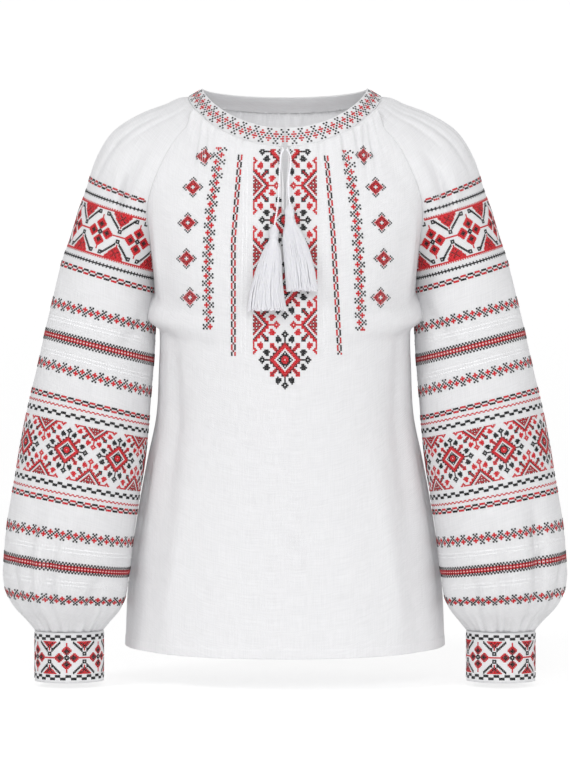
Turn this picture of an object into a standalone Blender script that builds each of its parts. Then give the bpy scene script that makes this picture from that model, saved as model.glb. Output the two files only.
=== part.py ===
"""Vyshyvanka shirt: a raglan blouse, hollow and filled out as if worn.

The front and back panels and the two sleeves meet at four raglan seams and are gathered into
a standing neckband, which is split at the centre front over a keyhole slit.  Two cords with
tassels tie the neckband.  Sizes below are in millimetres.  The origin is the middle of the
neck opening, +Z is up and the front faces -Y.  The sleeve at +X is the wearer's left one.
"""

import math
from collections import namedtuple

import bmesh
import bpy
import numpy as np

MM = 0.001

# ---------------------------------------------------------------- driving sizes, mm
CLOTH_WALL = 1.5            # linen with its seam allowance, as one wall
BAND_WALL = 1.8             # neckband and cuffs, two layers of linen
SEAM_GAP = 0.5              # between pieces that are sewn together
NECK_CENTRE_Y = -6.0
NECK_HALF_WIDTH = 108.0     # foot of the neckband
NECK_HALF_DEPTH = 82.0
NECK_SIDE_Z = 10.5
NECK_FRONT_DROP = 61.6
NECK_BACK_DROP = 9.9
BAND_TOP_HALF_WIDTH = 92.0  # upper edge of the neckband
BAND_TOP_HALF_DEPTH = 70.0
BAND_TOP_CENTRE_Y = -8.0
BAND_TOP_SIDE_Z = 19.8
BAND_TOP_FRONT_DROP = 50.4
BAND_TOP_BACK_DROP = 2.9
NECK_DROP_POWER = 1.4       # how quickly the neckline falls from shoulder to centre
NECKBAND_SPLIT = 1.0        # half the gap between the neckband's ends, at its upper edge
UNDERARM_RUN = 238.0        # where the raglan seams of front and back meet
SLEEVE_END_RUN = 638.0
HEM_RUN = 635.0
CUFF_CENTRE_X = 238.0
CUFF_CENTRE_Y = -47.0
CUFF_TOP_Z = -582.0
CUFF_BOTTOM_Z = -636.8
CUFF_HALF_WIDTH = 38.0
CUFF_HALF_DEPTH = 36.0
CUFF_GATHERS = 7            # pleats round the sleeve where it enters the cuff
BINDING_WIDTH = 1.9
CORD_DIAMETER = 2.2
SLIT_END = 76.0             # length of the slit below the neckband

# ---------------------------------------------------------------- tables, mm and degrees
# Run is the length of cloth down from the neckband.  A sleeve row goes from the front seam over
# the outside of the arm to the back seam.  Sweep is the half angle that it covers round the arm,
# 180 where the sleeve is a closed tube.  Lean is how much higher the back half lies.
SleeveRow = namedtuple("SleeveRow", "run out_x out_z seam_x seam_z middle_y half_depth lean sweep")
SLEEVE_ROWS = [
    SleeveRow(0, 108.0, 10.5, 96.2, -1.8, -6, 82.0, 19.6, 27),
    SleeveRow(24, 135.0, 4.2, 109.0, -18.0, -6, 79.0, 16.0, 40),
    SleeveRow(50, 165.5, -7.0, 124.1, -37.5, -6, 73.0, 12.8, 55),
    SleeveRow(76, 193.0, -27.0, 135.8, -60.0, -6, 66.8, 10.6, 75),
    SleeveRow(104, 211.5, -59.0, 145.9, -86.7, -6, 62.7, 8.7, 95),
    SleeveRow(131, 221.5, -90.5, 150.8, -112.5, -6, 59.6, 7.2, 115),
    SleeveRow(162, 231.0, -117.0, 149.1, -141.4, -5, 57.0, 5.8, 131),
    SleeveRow(196, 239.0, -144.0, 146.7, -170.3, -5, 55.0, 4.3, 148),
    SleeveRow(238, 248.5, -172.5, 145.6, -203.0, -5, 56.0, 3.0, 180),
    SleeveRow(284, 259.4, -218.6, 144.6, -248.7, -7, 57.0, 1.5, 180),
    SleeveRow(319, 267.6, -253.2, 146.0, -283.5, -12, 58.5, 0.5, 180),
    SleeveRow(353, 274.1, -284.6, 148.8, -319.1, -17, 59.5, 0.0, 180),
    SleeveRow(400, 285.2, -333.6, 151.8, -362.6, -25, 60.0, 0.0, 180),
    SleeveRow(438, 292.7, -373.5, 155.4, -398.0, -32, 60.0, 0.0, 180),
    SleeveRow(476, 298.0, -409.1, 161.0, -435.7, -38, 60.5, 0.0, 180),
    SleeveRow(528, 306.6, -463.2, 167.5, -483.2, -44, 63.0, 0.0, 180),
    SleeveRow(564, 309.5, -499.6, 171.2, -517.3, -46, 65.0, 0.0, 180),
    SleeveRow(600, 306.0, -539.5, 175.6, -548.5, -47, 61.0, 0.0, 180),
    SleeveRow(618, 296.0, -558.5, 182.4, -562.0, -47, 53.0, 0.0, 180),
    SleeveRow(629, 285.0, -570.5, 191.5, -571.8, -47, 44.5, 0.0, 180),
    SleeveRow(638, 276.0, -581.6, 200.0, -581.6, -47, 36.0, 0.0, 180),
]

# A body row goes from one seam across the centre to the other.  Above the underarm its ends are
# on the sleeve's seam, and the side columns are not used.  Arc is the half angle that the row
# bends through, and full is below 1 where the section is flatter in the middle than an ellipse.
BodyRow = namedtuple("BodyRow", "run side_x side_y side_z centre_y centre_z arc full")
FRONT_ROWS = [
    BodyRow(0, 0, 0, 0, -88.0, -51.1, 63, 1.00),
    BodyRow(24, 0, 0, 0, -92.5, -66.0, 66, 1.00),
    BodyRow(50, 0, 0, 0, -98.5, -88.0, 69, 1.00),
    BodyRow(76, 0, 0, 0, -104.0, -111.0, 72, 1.00),
    BodyRow(104, 0, 0, 0, -108.5, -136.0, 75, 1.00),
    BodyRow(131, 0, 0, 0, -111.5, -161.0, 78, 0.97),
    BodyRow(162, 0, 0, 0, -113.5, -188.0, 82, 0.94),
    BodyRow(196, 0, 0, 0, -114.5, -214.0, 86, 0.91),
    BodyRow(238, 145.2, -5, -203.0, -114.5, -240.0, 90, 0.88),
    BodyRow(284, 140.0, -4, -249.0, -113.5, -274.0, 90, 0.86),
    BodyRow(330, 141.0, -3, -295.0, -112.5, -312.0, 90, 0.85),
    BodyRow(380, 143.8, -2, -345.0, -112.5, -356.0, 90, 0.85),
    BodyRow(430, 154.0, -1, -395.0, -113.0, -403.0, 90, 0.85),
    BodyRow(500, 166.5, 0, -465.0, -115.0, -470.0, 90, 0.86),
    BodyRow(570, 175.5, 0, -535.0, -117.5, -540.0, 90, 0.88),
    BodyRow(635, 178.5, 0, -600.0, -119.0, -607.0, 90, 0.90),
]
BACK_ROWS = [
    BodyRow(0, 0, 0, 0, 76.0, 0.6, 63, 1.00),
    BodyRow(24, 0, 0, 0, 82.5, -20.0, 66, 1.00),
    BodyRow(50, 0, 0, 0, 90.0, -45.0, 69, 1.00),
    BodyRow(76, 0, 0, 0, 96.0, -71.0, 72, 1.00),
    BodyRow(104, 0, 0, 0, 100.5, -99.0, 75, 1.00),
    BodyRow(131, 0, 0, 0, 103.0, -127.0, 78, 0.97),
    BodyRow(162, 0, 0, 0, 104.5, -157.0, 82, 0.94),
    BodyRow(196, 0, 0, 0, 104.5, -188.0, 86, 0.91),
    BodyRow(238, 145.2, -5, -203.0, 103.0, -220.0, 90, 0.88),
    BodyRow(284, 140.0, -4, -249.0, 100.0, -260.0, 90, 0.86),
    BodyRow(330, 141.0, -3, -295.0, 98.0, -301.0, 90, 0.85),
    BodyRow(380, 143.8, -2, -345.0, 97.5, -348.0, 90, 0.85),
    BodyRow(430, 154.0, -1, -395.0, 99.0, -397.0, 90, 0.85),
    BodyRow(500, 166.5, 0, -465.0, 103.0, -467.0, 90, 0.86),
    BodyRow(570, 175.5, 0, -535.0, 107.0, -537.0, 90, 0.88),
    BodyRow(635, 178.5, 0, -600.0, 109.0, -603.0, 90, 0.90),
]

# The keyhole slit: half its opening at each distance below the neckband.
SlitRow = namedtuple("SlitRow", "below half_opening")
SLIT_ROWS = [
    SlitRow(0, 1.1),
    SlitRow(8, 2.4),
    SlitRow(18, 2.9),
    SlitRow(30, 1.9),
    SlitRow(42, 1.1),
    SlitRow(60, 0.9),
    SlitRow(76, 0.6),
]

# The largest folds.  Across is -1 at one seam, 0 at the centre and 1 at the other.  Depth is
# outwards, so a trough is negative.  Width is in the same measure as across.
Fold = namedtuple("Fold", "across across_end run run_end width depth")
FRONT_FOLDS = [
    Fold(-0.62, -0.66, 300, 640, 0.10, -3.2),
    Fold(0.60, 0.64, 300, 640, 0.10, -3.2),
    Fold(-0.30, -0.33, 420, 660, 0.12, 1.6),
    Fold(0.27, 0.30, 420, 660, 0.12, 1.6),
    Fold(-0.78, -0.90, 10, 120, 0.09, -3.0),
    Fold(0.78, 0.90, 10, 120, 0.09, -3.0),
]
BACK_FOLDS = [
    Fold(-0.55, -0.60, 260, 640, 0.11, -3.4),
    Fold(0.52, 0.58, 260, 640, 0.11, -3.4),
    Fold(0.02, 0.04, 200, 640, 0.13, 2.4),
    Fold(-0.80, -0.90, 10, 130, 0.09, -3.0),
    Fold(0.80, 0.90, 10, 130, 0.09, -3.0),
]
SLEEVE_FOLDS = [
    Fold(-0.62, -0.80, 20, 150, 0.10, -4.0),
    Fold(0.62, 0.80, 20, 150, 0.10, -4.0),
    Fold(-0.34, -0.30, 430, 640, 0.07, -4.5),
    Fold(-0.62, -0.58, 470, 640, 0.08, -3.0),
    Fold(0.36, 0.33, 440, 640, 0.08, -4.0),
    Fold(0.70, 0.66, 400, 640, 0.08, -3.0),
]

# Tie cords, from the foot of the neckband down to the top of the tassel.  Ahead is the distance
# of the cord's middle in front of the cloth.
CordPoint = namedtuple("CordPoint", "x z ahead")
TIE_CORDS = {
    "right": [
        CordPoint(-1.5, -55.5, 2.4),
        CordPoint(-4.0, -60.0, 3.2),
        CordPoint(-5.0, -67.0, 3.4),
        CordPoint(-5.8, -80.0, 3.2),
        CordPoint(-6.6, -96.0, 3.2),
        CordPoint(-7.4, -112.0, 3.4),
        CordPoint(-9.0, -125.0, 4.2),
        CordPoint(-11.2, -138.0, 6.6),
    ],
    "left": [
        CordPoint(1.5, -55.5, 2.4),
        CordPoint(4.6, -59.5, 3.2),
        CordPoint(6.2, -66.0, 3.4),
        CordPoint(5.6, -75.0, 3.2),
        CordPoint(4.0, -87.0, 3.2),
        CordPoint(3.6, -101.0, 3.4),
        CordPoint(4.2, -109.0, 4.4),
        CordPoint(4.8, -116.0, 6.6),
    ],
}

# Tassels, from the top of the head to the cut ends.  Middle is the x of the section's centre.
TasselRow = namedtuple("TasselRow", "z middle half_width half_depth")
TASSELS = {
    "right": [
        TasselRow(-139.0, -11.4, 1.6, 1.6),
        TasselRow(-141.5, -11.6, 4.4, 4.2),
        TasselRow(-147.0, -11.8, 5.8, 5.4),
        TasselRow(-152.0, -12.0, 4.6, 4.6),
        TasselRow(-155.5, -12.4, 4.8, 4.6),
        TasselRow(-168.4, -14.4, 10.6, 6.2),
        TasselRow(-184.4, -16.8, 14.2, 7.0),
        TasselRow(-200.3, -18.8, 17.0, 7.4),
        TasselRow(-216.3, -19.8, 19.8, 7.8),
        TasselRow(-231.0, -19.4, 22.4, 8.2),
    ],
    "left": [
        TasselRow(-117.0, 4.9, 1.6, 1.6),
        TasselRow(-119.5, 5.0, 4.6, 4.4),
        TasselRow(-125.5, 5.0, 5.9, 5.6),
        TasselRow(-131.5, 5.1, 4.8, 4.6),
        TasselRow(-135.0, 5.6, 5.2, 4.8),
        TasselRow(-149.9, 8.6, 11.6, 6.0),
        TasselRow(-166.1, 12.2, 14.8, 6.6),
        TasselRow(-182.3, 15.2, 16.4, 7.0),
        TasselRow(-197.1, 17.0, 17.2, 7.4),
        TasselRow(-210.0, 18.8, 17.8, 7.6),
    ],
}
TASSEL_SIDES = 14
TASSEL_OFF_CLOTH = 1.4

# Linear colour, roughness and metallic value of each piece's material.
WHITE_LINEN = ((0.88, 0.88, 0.90, 1.0), 0.85, 0.0)
EMBROIDERED_LINEN = ((0.72, 0.42, 0.43, 1.0), 0.80, 0.0)
WHITE_THREAD = ((0.93, 0.93, 0.96, 1.0), 0.60, 0.0)


# ---------------------------------------------------------------- surfaces
def read_row(rows, run):
    """Return a table's row at any run, on smooth curves through its columns."""
    table = np.array(rows, dtype=float)
    knots = table[:, 0]
    run = min(max(run, knots[0]), knots[-1])
    steps = np.diff(knots)
    slopes = np.diff(table, axis=0) / steps[:, None]
    tangents = np.empty_like(table)
    tangents[0] = slopes[0]
    tangents[-1] = slopes[-1]
    before = steps[:-1, None]
    after = steps[1:, None]
    tangents[1:-1] = (slopes[:-1] * after + slopes[1:] * before) / (before + after)
    index = min(int(np.searchsorted(knots, run, side="right")) - 1, len(steps) - 1)
    step = steps[index]
    share = (run - knots[index]) / step
    value = (
        table[index] * (1 + 2 * share) * (1 - share) ** 2
        + tangents[index] * step * share * (1 - share) ** 2
        + table[index + 1] * share**2 * (3 - 2 * share)
        - tangents[index + 1] * step * share**2 * (1 - share)
    )
    return type(rows[0])(*value)


def neck_height(angle, side_z, front_drop, back_drop):
    """Height of the neckline at an angle from the centre front."""
    facing = math.cos(angle)
    drop = front_drop if facing > 0 else back_drop
    return side_z - drop * abs(facing) ** NECK_DROP_POWER


def neck_foot(angle):
    """Point of the neckline where panels and neckband meet; 0 is the front, pi the back."""
    return (
        NECK_HALF_WIDTH * math.sin(angle),
        NECK_CENTRE_Y - NECK_HALF_DEPTH * math.cos(angle),
        neck_height(angle, NECK_SIDE_Z, NECK_FRONT_DROP, NECK_BACK_DROP),
    )


def neck_top(angle):
    """Point of the neckband's upper edge."""
    return (
        BAND_TOP_HALF_WIDTH * math.sin(angle),
        BAND_TOP_CENTRE_Y - BAND_TOP_HALF_DEPTH * math.cos(angle),
        neck_height(angle, BAND_TOP_SIDE_Z, BAND_TOP_FRONT_DROP, BAND_TOP_BACK_DROP),
    )


def neck_share(run):
    """How far a row still follows the neckline: 1 at the neckband, 0 from the second row on."""
    reach = SLEEVE_ROWS[1].run
    left = max(0.0, 1.0 - run / reach)
    return left * left * (3 - 2 * left)


def fold_depth(folds, across, run):
    """Depth of the folds at a place on a panel, in mm outwards."""
    depth = 0.0
    for fold in folds:
        share = (run - fold.run) / (fold.run_end - fold.run)
        if not 0.0 < share < 1.0:
            continue
        middle = fold.across + (fold.across_end - fold.across) * share
        offset = (across - middle) / fold.width
        fade = math.sin(math.pi * share) if fold.run < 100 else min(1.0, 2.5 * share)
        depth += fold.depth * fade * math.exp(-offset * offset)
    return depth


def sleeve_point(run, turn, folded=True):
    """Point on the sleeve at +X; turn is -1 at the front seam, 0 on the arm's outside, 1 behind."""
    row = read_row(SLEEVE_ROWS, run)
    sweep = math.radians(min(row.sweep, 180.0))
    if run >= UNDERARM_RUN:
        sweep = math.pi
    angle = turn * sweep
    rise = (math.cos(angle) - math.cos(sweep)) / (1 - math.cos(sweep))
    depth = 0.0
    if folded:
        closing = max(0.0, (run - 560.0) / (SLEEVE_END_RUN - 560.0))
        gathers = 2.0 * math.sin(math.pi * closing) * math.cos(CUFF_GATHERS * angle)
        edge = 1.0 - abs(turn) ** 8 if run < UNDERARM_RUN else 1.0
        depth = (fold_depth(SLEEVE_FOLDS, turn, run) + gathers) * edge
        depth *= min(1.0, (SLEEVE_END_RUN - run) / 12.0)
    half_width = math.hypot(row.out_x - row.seam_x, row.out_z - row.seam_z) / 2
    grow = 1.0 + depth / max(half_width, row.half_depth)
    middle_x = (row.out_x + row.seam_x) / 2
    middle_z = (row.out_z + row.seam_z) / 2
    x = row.seam_x + (row.out_x - row.seam_x) * rise
    y = row.middle_y + row.half_depth * math.sin(angle)
    z = row.seam_z + (row.out_z - row.seam_z) * rise
    x = middle_x + (x - middle_x) * grow
    y = row.middle_y + (y - row.middle_y) * grow
    z = middle_z + (z - middle_z) * grow + row.lean * math.sin(angle)
    share = neck_share(run)
    if share > 0:
        z += share * (neck_foot(math.pi / 2 + angle)[2] - z)
    return (x, y, z)


def body_point(rows, folds, run, across):
    """Point on the front or back panel; across is -1 at the seam at -X and 1 at the seam at +X."""
    row = read_row(rows, run)
    faces_back = rows is BACK_ROWS
    if run < UNDERARM_RUN:
        end_x, end_y, end_z = sleeve_point(run, 1 if faces_back else -1, folded=False)
        end_x -= SEAM_GAP * (1 + 2 * neck_share(run))
    else:
        end_x, end_y, end_z = row.side_x, row.side_y, row.side_z
    end_y += SEAM_GAP * 0.6 if faces_back else -SEAM_GAP * 0.6
    arc = math.radians(min(row.arc, 90.0))
    angle = across * arc
    bend = (math.cos(angle) ** row.full - math.cos(arc) ** row.full) / (1 - math.cos(arc) ** row.full)
    x = end_x * math.sin(angle) / math.sin(arc)
    y = end_y + (row.centre_y - end_y) * bend
    z = end_z + (row.centre_z - end_z) * bend
    share = neck_share(run)
    if share > 0:
        neck_angle = math.asin(max(-1.0, min(1.0, x / NECK_HALF_WIDTH)))
        if faces_back:
            neck_angle = math.pi - neck_angle
        z += share * (neck_foot(neck_angle)[2] - z)
    edge = 1.0 - abs(across) ** 6
    depth = fold_depth(folds, across, run) * edge
    y += depth * math.cos(angle) * (1 if faces_back else -1)
    x += depth * math.sin(angle)
    return (x, y, z)


def slit_opening(below):
    """Half the slit's opening at a distance below the neckband."""
    return max(0.3, read_row([SlitRow(*row) for row in SLIT_ROWS], below).half_opening)


def panel_notch(below):
    """Half the width of the front panel's notch, which holds the slit and its two bindings."""
    if below >= SLIT_END:
        return 0.0
    closing = min(1.0, (SLIT_END - below) / 6.0)
    return (slit_opening(below) + BINDING_WIDTH + SEAM_GAP) * math.sqrt(closing)


def front_run_at(z):
    """Run of the front panel's centre line at a height, by halving."""
    low, high = 0.0, HEM_RUN
    for _ in range(40):
        middle = (low + high) / 2
        if body_point(FRONT_ROWS, [], middle, 0.0)[2] > z:
            low = middle
        else:
            high = middle
    return (low + high) / 2


def across_at(run, x):
    """Across value of the front panel at a run and an x."""
    arc = math.radians(min(read_row(FRONT_ROWS, run).arc, 90.0))
    end_x = body_point(FRONT_ROWS, [], run, 1.0)[0]
    return math.asin(x * math.sin(arc) / end_x) / arc


def front_surface_y(x, z):
    """y of the front panel at an x and z near its centre."""
    run = front_run_at(z)
    return body_point(FRONT_ROWS, [], run, across_at(run, x))[1]


# ---------------------------------------------------------------- mesh helpers
def make_material(name, finish):
    colour, roughness, metallic = finish
    material = bpy.data.materials.new(name)
    material.use_nodes = True
    shader = material.node_tree.nodes["Principled BSDF"]
    shader.inputs["Base Color"].default_value = colour
    shader.inputs["Roughness"].default_value = roughness
    shader.inputs["Metallic"].default_value = metallic
    material.diffuse_color = colour
    return material


def add_object(name, mesh, finish):
    piece = bpy.data.objects.new(name, mesh)
    shirt.objects.link(piece)
    mesh.materials.append(make_material(name + "_material", finish))
    return piece


def grid_mesh(name, rows, mirror=False):
    """Mesh of quads through rows of points in mm, with coincident points merged."""
    shape = bmesh.new()
    verts = []
    for row in rows:
        verts.append([shape.verts.new([value * MM for value in point]) for point in row])
    for upper, lower in zip(verts, verts[1:]):
        for index in range(len(upper) - 1):
            corners = [upper[index], lower[index], lower[index + 1], upper[index + 1]]
            shape.faces.new(corners[::-1] if mirror else corners)
    bmesh.ops.remove_doubles(shape, verts=shape.verts, dist=0.00001)
    bmesh.ops.dissolve_degenerate(shape, edges=shape.edges, dist=0.00001)
    mesh = bpy.data.meshes.new(name)
    shape.to_mesh(mesh)
    shape.free()
    mesh.shade_smooth()
    return mesh


def add_cloth(name, rows, wall, finish, mirror=False):
    """Cloth wall grown inwards from the outer surface through rows of points."""
    piece = add_object(name, grid_mesh(name, rows, mirror), finish)
    solidify = piece.modifiers.new("cloth wall", "SOLIDIFY")
    solidify.thickness = wall * MM
    solidify.offset = -1.0
    solidify.use_even_offset = False
    return piece


# ---------------------------------------------------------------- pieces
BODY_COLUMNS = 11           # to each side of the centre
PANEL_RUNS = [0.6, 8, 20, 34, 48, 62, 76, 84, 90, 106, 124, 146, 170, 200, 238, 275, 325, 380, 435,
              500, 570, 635]
SLEEVE_COLUMNS = 28
SLEEVE_RUNS = [0.6, 14, 32, 54, 78, 104, 131, 162, 196, 238, 290, 345, 400, 455, 510, 555, 585, 606,
               622, 637.6]


def half_panel(rows, folds, side, notch):
    """Rows of points from the centre or the notch's edge to the seam on one side."""
    points = []
    for run in PANEL_RUNS:
        start = across_at(run, panel_notch(drop_below_band(run))) if notch else 0.0
        shares = [start + (1 - start) * step / BODY_COLUMNS for step in range(BODY_COLUMNS + 1)]
        points.append([body_point(rows, folds, run, side * share) for share in shares])
    return points


def drop_below_band(run):
    """How far the centre front at a run lies below the neckband."""
    return body_point(FRONT_ROWS, [], 0.0, 0.0)[2] - body_point(FRONT_ROWS, [], run, 0.0)[2]


def make_panels():
    joined = bmesh.new()
    for side in (-1, 1):
        half = grid_mesh("half", half_panel(FRONT_ROWS, FRONT_FOLDS, side, True), mirror=side < 0)
        joined.from_mesh(half)
        bpy.data.meshes.remove(half)
    bmesh.ops.remove_doubles(joined, verts=joined.verts, dist=0.00001)
    mesh = bpy.data.meshes.new("front_panel")
    joined.to_mesh(mesh)
    joined.free()
    mesh.shade_smooth()
    piece = add_object("front_panel", mesh, EMBROIDERED_LINEN)
    solidify = piece.modifiers.new("cloth wall", "SOLIDIFY")
    solidify.thickness = CLOTH_WALL * MM
    solidify.offset = -1.0

    back = []
    for left, right in zip(half_panel(BACK_ROWS, BACK_FOLDS, -1, False),
                           half_panel(BACK_ROWS, BACK_FOLDS, 1, False)):
        back.append(left[::-1] + right[1:])
    add_cloth("back_panel", back, CLOTH_WALL, WHITE_LINEN, mirror=True)


def make_sleeve(side, name):
    rows = []
    for run in SLEEVE_RUNS:
        turns = [-1 + 2 * step / SLEEVE_COLUMNS for step in range(SLEEVE_COLUMNS + 1)]
        points = [sleeve_point(run, turn) for turn in turns]
        rows.append([(side * x, y, z) for x, y, z in points])
    add_cloth(name, rows, CLOTH_WALL, EMBROIDERED_LINEN, mirror=side < 0)


def make_neckband():
    columns = 56
    rows = []
    for height in (0.03, 1.0):
        split = (SEAM_GAP + NECKBAND_SPLIT * (1.4 - height)) / BAND_TOP_HALF_WIDTH
        row = []
        for step in range(columns + 1):
            angle = split + (2 * math.pi - 2 * split) * step / columns
            foot = np.array(neck_foot(angle))
            top = np.array(neck_top(angle))
            row.append(tuple(foot + (top - foot) * height))
        rows.append(row)
    add_cloth("neckband", rows[::-1], BAND_WALL, EMBROIDERED_LINEN)


def make_cuff(side, name):
    columns = 32
    rows = []
    for z in (CUFF_TOP_Z, CUFF_BOTTOM_Z):
        row = []
        for step in range(columns + 1):
            angle = -math.pi + 2 * math.pi * step / columns
            x = CUFF_CENTRE_X + CUFF_HALF_WIDTH * math.cos(angle)
            y = CUFF_CENTRE_Y + CUFF_HALF_DEPTH * math.sin(angle)
            row.append((side * x, y, z))
        rows.append(row)
    add_cloth(name, rows, BAND_WALL, EMBROIDERED_LINEN, mirror=side < 0)


def make_binding(side, name):
    """Narrow bound edge along one side of the slit."""
    rows = []
    stop = SLIT_END - 5.0
    for step in range(13):
        below = 1.2 + (stop - 1.2) * step / 12
        z = neck_foot(0.0)[2] - below
        inner = slit_opening(below)
        outer = min(panel_notch(below) - SEAM_GAP, inner + BINDING_WIDTH)
        y = front_surface_y(inner, z) - 0.4
        rows.append([(side * inner, y, z), (side * outer, y, z)])
    add_cloth(name, rows, BAND_WALL, WHITE_LINEN, mirror=side < 0)


def smooth_route(points, spacing):
    """Points at an even spacing on a smooth curve through a route's own points."""
    points = np.array(points)
    padded = np.vstack([2 * points[0] - points[1], points, 2 * points[-1] - points[-2]])
    fine = []
    for index in range(1, len(padded) - 2):
        p0, p1, p2, p3 = padded[index - 1:index + 3]
        for share in np.linspace(0, 1, 24, endpoint=False):
            fine.append(0.5 * (2 * p1 + (p2 - p0) * share
                               + (2 * p0 - 5 * p1 + 4 * p2 - p3) * share**2
                               + (3 * p1 - p0 - 3 * p2 + p3) * share**3))
    fine.append(points[-1])
    fine = np.array(fine)
    lengths = np.concatenate([[0], np.cumsum(np.linalg.norm(np.diff(fine, axis=0), axis=1))])
    count = max(2, int(round(lengths[-1] / spacing)))
    stations = np.linspace(0, lengths[-1], count + 1)
    return np.column_stack([np.interp(stations, lengths, fine[:, axis]) for axis in range(3)])


def make_cord(side):
    route = []
    for point in TIE_CORDS[side]:
        route.append((point.x, front_surface_y(point.x, point.z) - point.ahead, point.z))
    places = smooth_route(route, 2.5 * CORD_DIAMETER)
    curve = bpy.data.curves.new("tie_cord_" + side, "CURVE")
    curve.dimensions = "3D"
    curve.bevel_depth = CORD_DIAMETER / 2 * MM
    curve.bevel_resolution = 2
    curve.use_fill_caps = True
    spline = curve.splines.new("POLY")
    spline.points.add(len(places) - 1)
    for spot, place in zip(spline.points, places):
        spot.co = (*(place * MM), 1.0)
    piece = bpy.data.objects.new("tie_cord_" + side, curve)
    shirt.objects.link(piece)
    curve.materials.append(make_material("tie_cord_" + side + "_material", WHITE_THREAD))


def make_tassel(side):
    """Closed loft through a tassel's sections, which hang just in front of the cloth."""
    shape = bmesh.new()
    rings = []
    for row in TASSELS[side]:
        y = front_surface_y(row.middle, row.z) - TASSEL_OFF_CLOTH - row.half_depth
        y = min(y, front_surface_y(row.middle, row.z) - 6.6)
        ring = []
        for step in range(TASSEL_SIDES):
            angle = 2 * math.pi * step / TASSEL_SIDES
            place = (row.middle + row.half_width * math.cos(angle),
                     y + row.half_depth * math.sin(angle), row.z)
            ring.append(shape.verts.new([value * MM for value in place]))
        rings.append(ring)
    bmesh.ops.contextual_create(shape, geom=rings[0])
    bmesh.ops.contextual_create(shape, geom=rings[-1])
    for upper, lower in zip(rings, rings[1:]):
        for index in range(TASSEL_SIDES):
            after = (index + 1) % TASSEL_SIDES
            shape.faces.new([upper[index], upper[after], lower[after], lower[index]])
    bmesh.ops.recalc_face_normals(shape, faces=shape.faces)
    mesh = bpy.data.meshes.new("tassel_" + side)
    shape.to_mesh(mesh)
    shape.free()
    mesh.shade_smooth()
    add_object("tassel_" + side, mesh, WHITE_THREAD)


# ---------------------------------------------------------------- the shirt
for old in list(bpy.data.objects):
    bpy.data.objects.remove(old)
shirt = bpy.data.collections.new("vyshyvanka_shirt")
bpy.context.scene.collection.children.link(shirt)

make_panels()
make_sleeve(1, "sleeve_left")
make_sleeve(-1, "sleeve_right")
make_neckband()
make_cuff(1, "cuff_left")
make_cuff(-1, "cuff_right")
make_binding(1, "slit_binding_left")
make_binding(-1, "slit_binding_right")
for cord_side in ("left", "right"):
    make_cord(cord_side)
    make_tassel(cord_side)
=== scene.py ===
"""Vyshyvanka shirt: linen cloth, cross-stitch embroidery, tie cords and tassels.

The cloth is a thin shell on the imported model's form, with its creases and gathers.  The
embroidery is charted below and worked stitch by stitch over the cloth.  Sizes are in
millimetres until they go into a mesh.  The sleeve at +X is the wearer's left one.
"""

import math
from collections import namedtuple

import bmesh
import bpy
import numpy as np
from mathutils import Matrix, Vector


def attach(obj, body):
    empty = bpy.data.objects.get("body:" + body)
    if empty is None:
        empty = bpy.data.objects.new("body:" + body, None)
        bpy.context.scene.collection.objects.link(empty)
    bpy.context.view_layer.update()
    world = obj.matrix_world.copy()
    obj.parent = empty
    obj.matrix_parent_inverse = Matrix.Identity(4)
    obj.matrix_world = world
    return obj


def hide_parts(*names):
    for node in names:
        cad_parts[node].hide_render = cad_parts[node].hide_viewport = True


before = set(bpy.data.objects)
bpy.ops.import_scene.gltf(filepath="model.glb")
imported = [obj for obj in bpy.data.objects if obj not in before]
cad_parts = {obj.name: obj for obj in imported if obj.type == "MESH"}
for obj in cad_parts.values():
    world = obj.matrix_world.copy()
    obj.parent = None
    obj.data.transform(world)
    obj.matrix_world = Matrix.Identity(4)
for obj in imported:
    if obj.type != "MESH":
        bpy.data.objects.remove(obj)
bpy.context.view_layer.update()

MM = 0.001


def new_object(name, data):
    """Put a mesh, a camera or a light into the scene."""
    thing = bpy.data.objects.new(name, data)
    bpy.context.scene.collection.objects.link(thing)
    return thing


# ---------------------------------------------------------------- camera
CAMERA_DISTANCE = 3.1       # metres in front of the middle of the shirt
CAMERA_HEIGHT = -0.306
camera_data = bpy.data.cameras.new("camera")
camera_data.lens = 131.1
camera_data.sensor_width = 36.0
camera = new_object("camera", camera_data)
camera.location = (0.0, -CAMERA_DISTANCE, CAMERA_HEIGHT)
camera.rotation_euler = (math.pi / 2, 0.0, 0.0)
bpy.context.scene.camera = camera

# ---------------------------------------------------------------- driving sizes, mm
SHEET_WALL = 1.1            # the cloth's wall here, thinner than the solid's
BAND_WALL = 1.8             # neckband and cuffs, two layers of linen
SEAM_GAP = 0.5              # between pieces that are sewn together
NECK_CENTRE_Y = -6.0
NECK_HALF_WIDTH = 108.0     # foot of the neckband
NECK_HALF_DEPTH = 82.0
NECK_SIDE_Z = 10.5
NECK_FRONT_DROP = 61.6
NECK_BACK_DROP = 9.9
BAND_TOP_HALF_WIDTH = 92.0  # upper edge of the neckband
BAND_TOP_HALF_DEPTH = 70.0
BAND_TOP_CENTRE_Y = -8.0
BAND_TOP_SIDE_Z = 19.8
BAND_TOP_FRONT_DROP = 50.4
BAND_TOP_BACK_DROP = 2.9
NECK_DROP_POWER = 1.4       # how quickly the neckline falls from shoulder to centre
NECKBAND_SPLIT = 1.0        # half the gap between the neckband's ends, at its upper edge
UNDERARM_RUN = 238.0        # where the raglan seams of front and back meet
SLEEVE_END_RUN = 638.0
HEM_RUN = 635.0
CUFF_CENTRE_X = 238.0
CUFF_CENTRE_Y = -47.0
CUFF_TOP_Z = -582.0
CUFF_BOTTOM_Z = -636.8
CUFF_HALF_WIDTH = 38.0
CUFF_HALF_DEPTH = 36.0
CUFF_GATHERS = 7            # large pleats round the sleeve where it enters the cuff
CLOSING_RUN = 560.0         # where the sleeve starts to close towards the cuff
CLOSING_PLEAT = 2.0
HEM_DEPTH = 10.0
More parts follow.
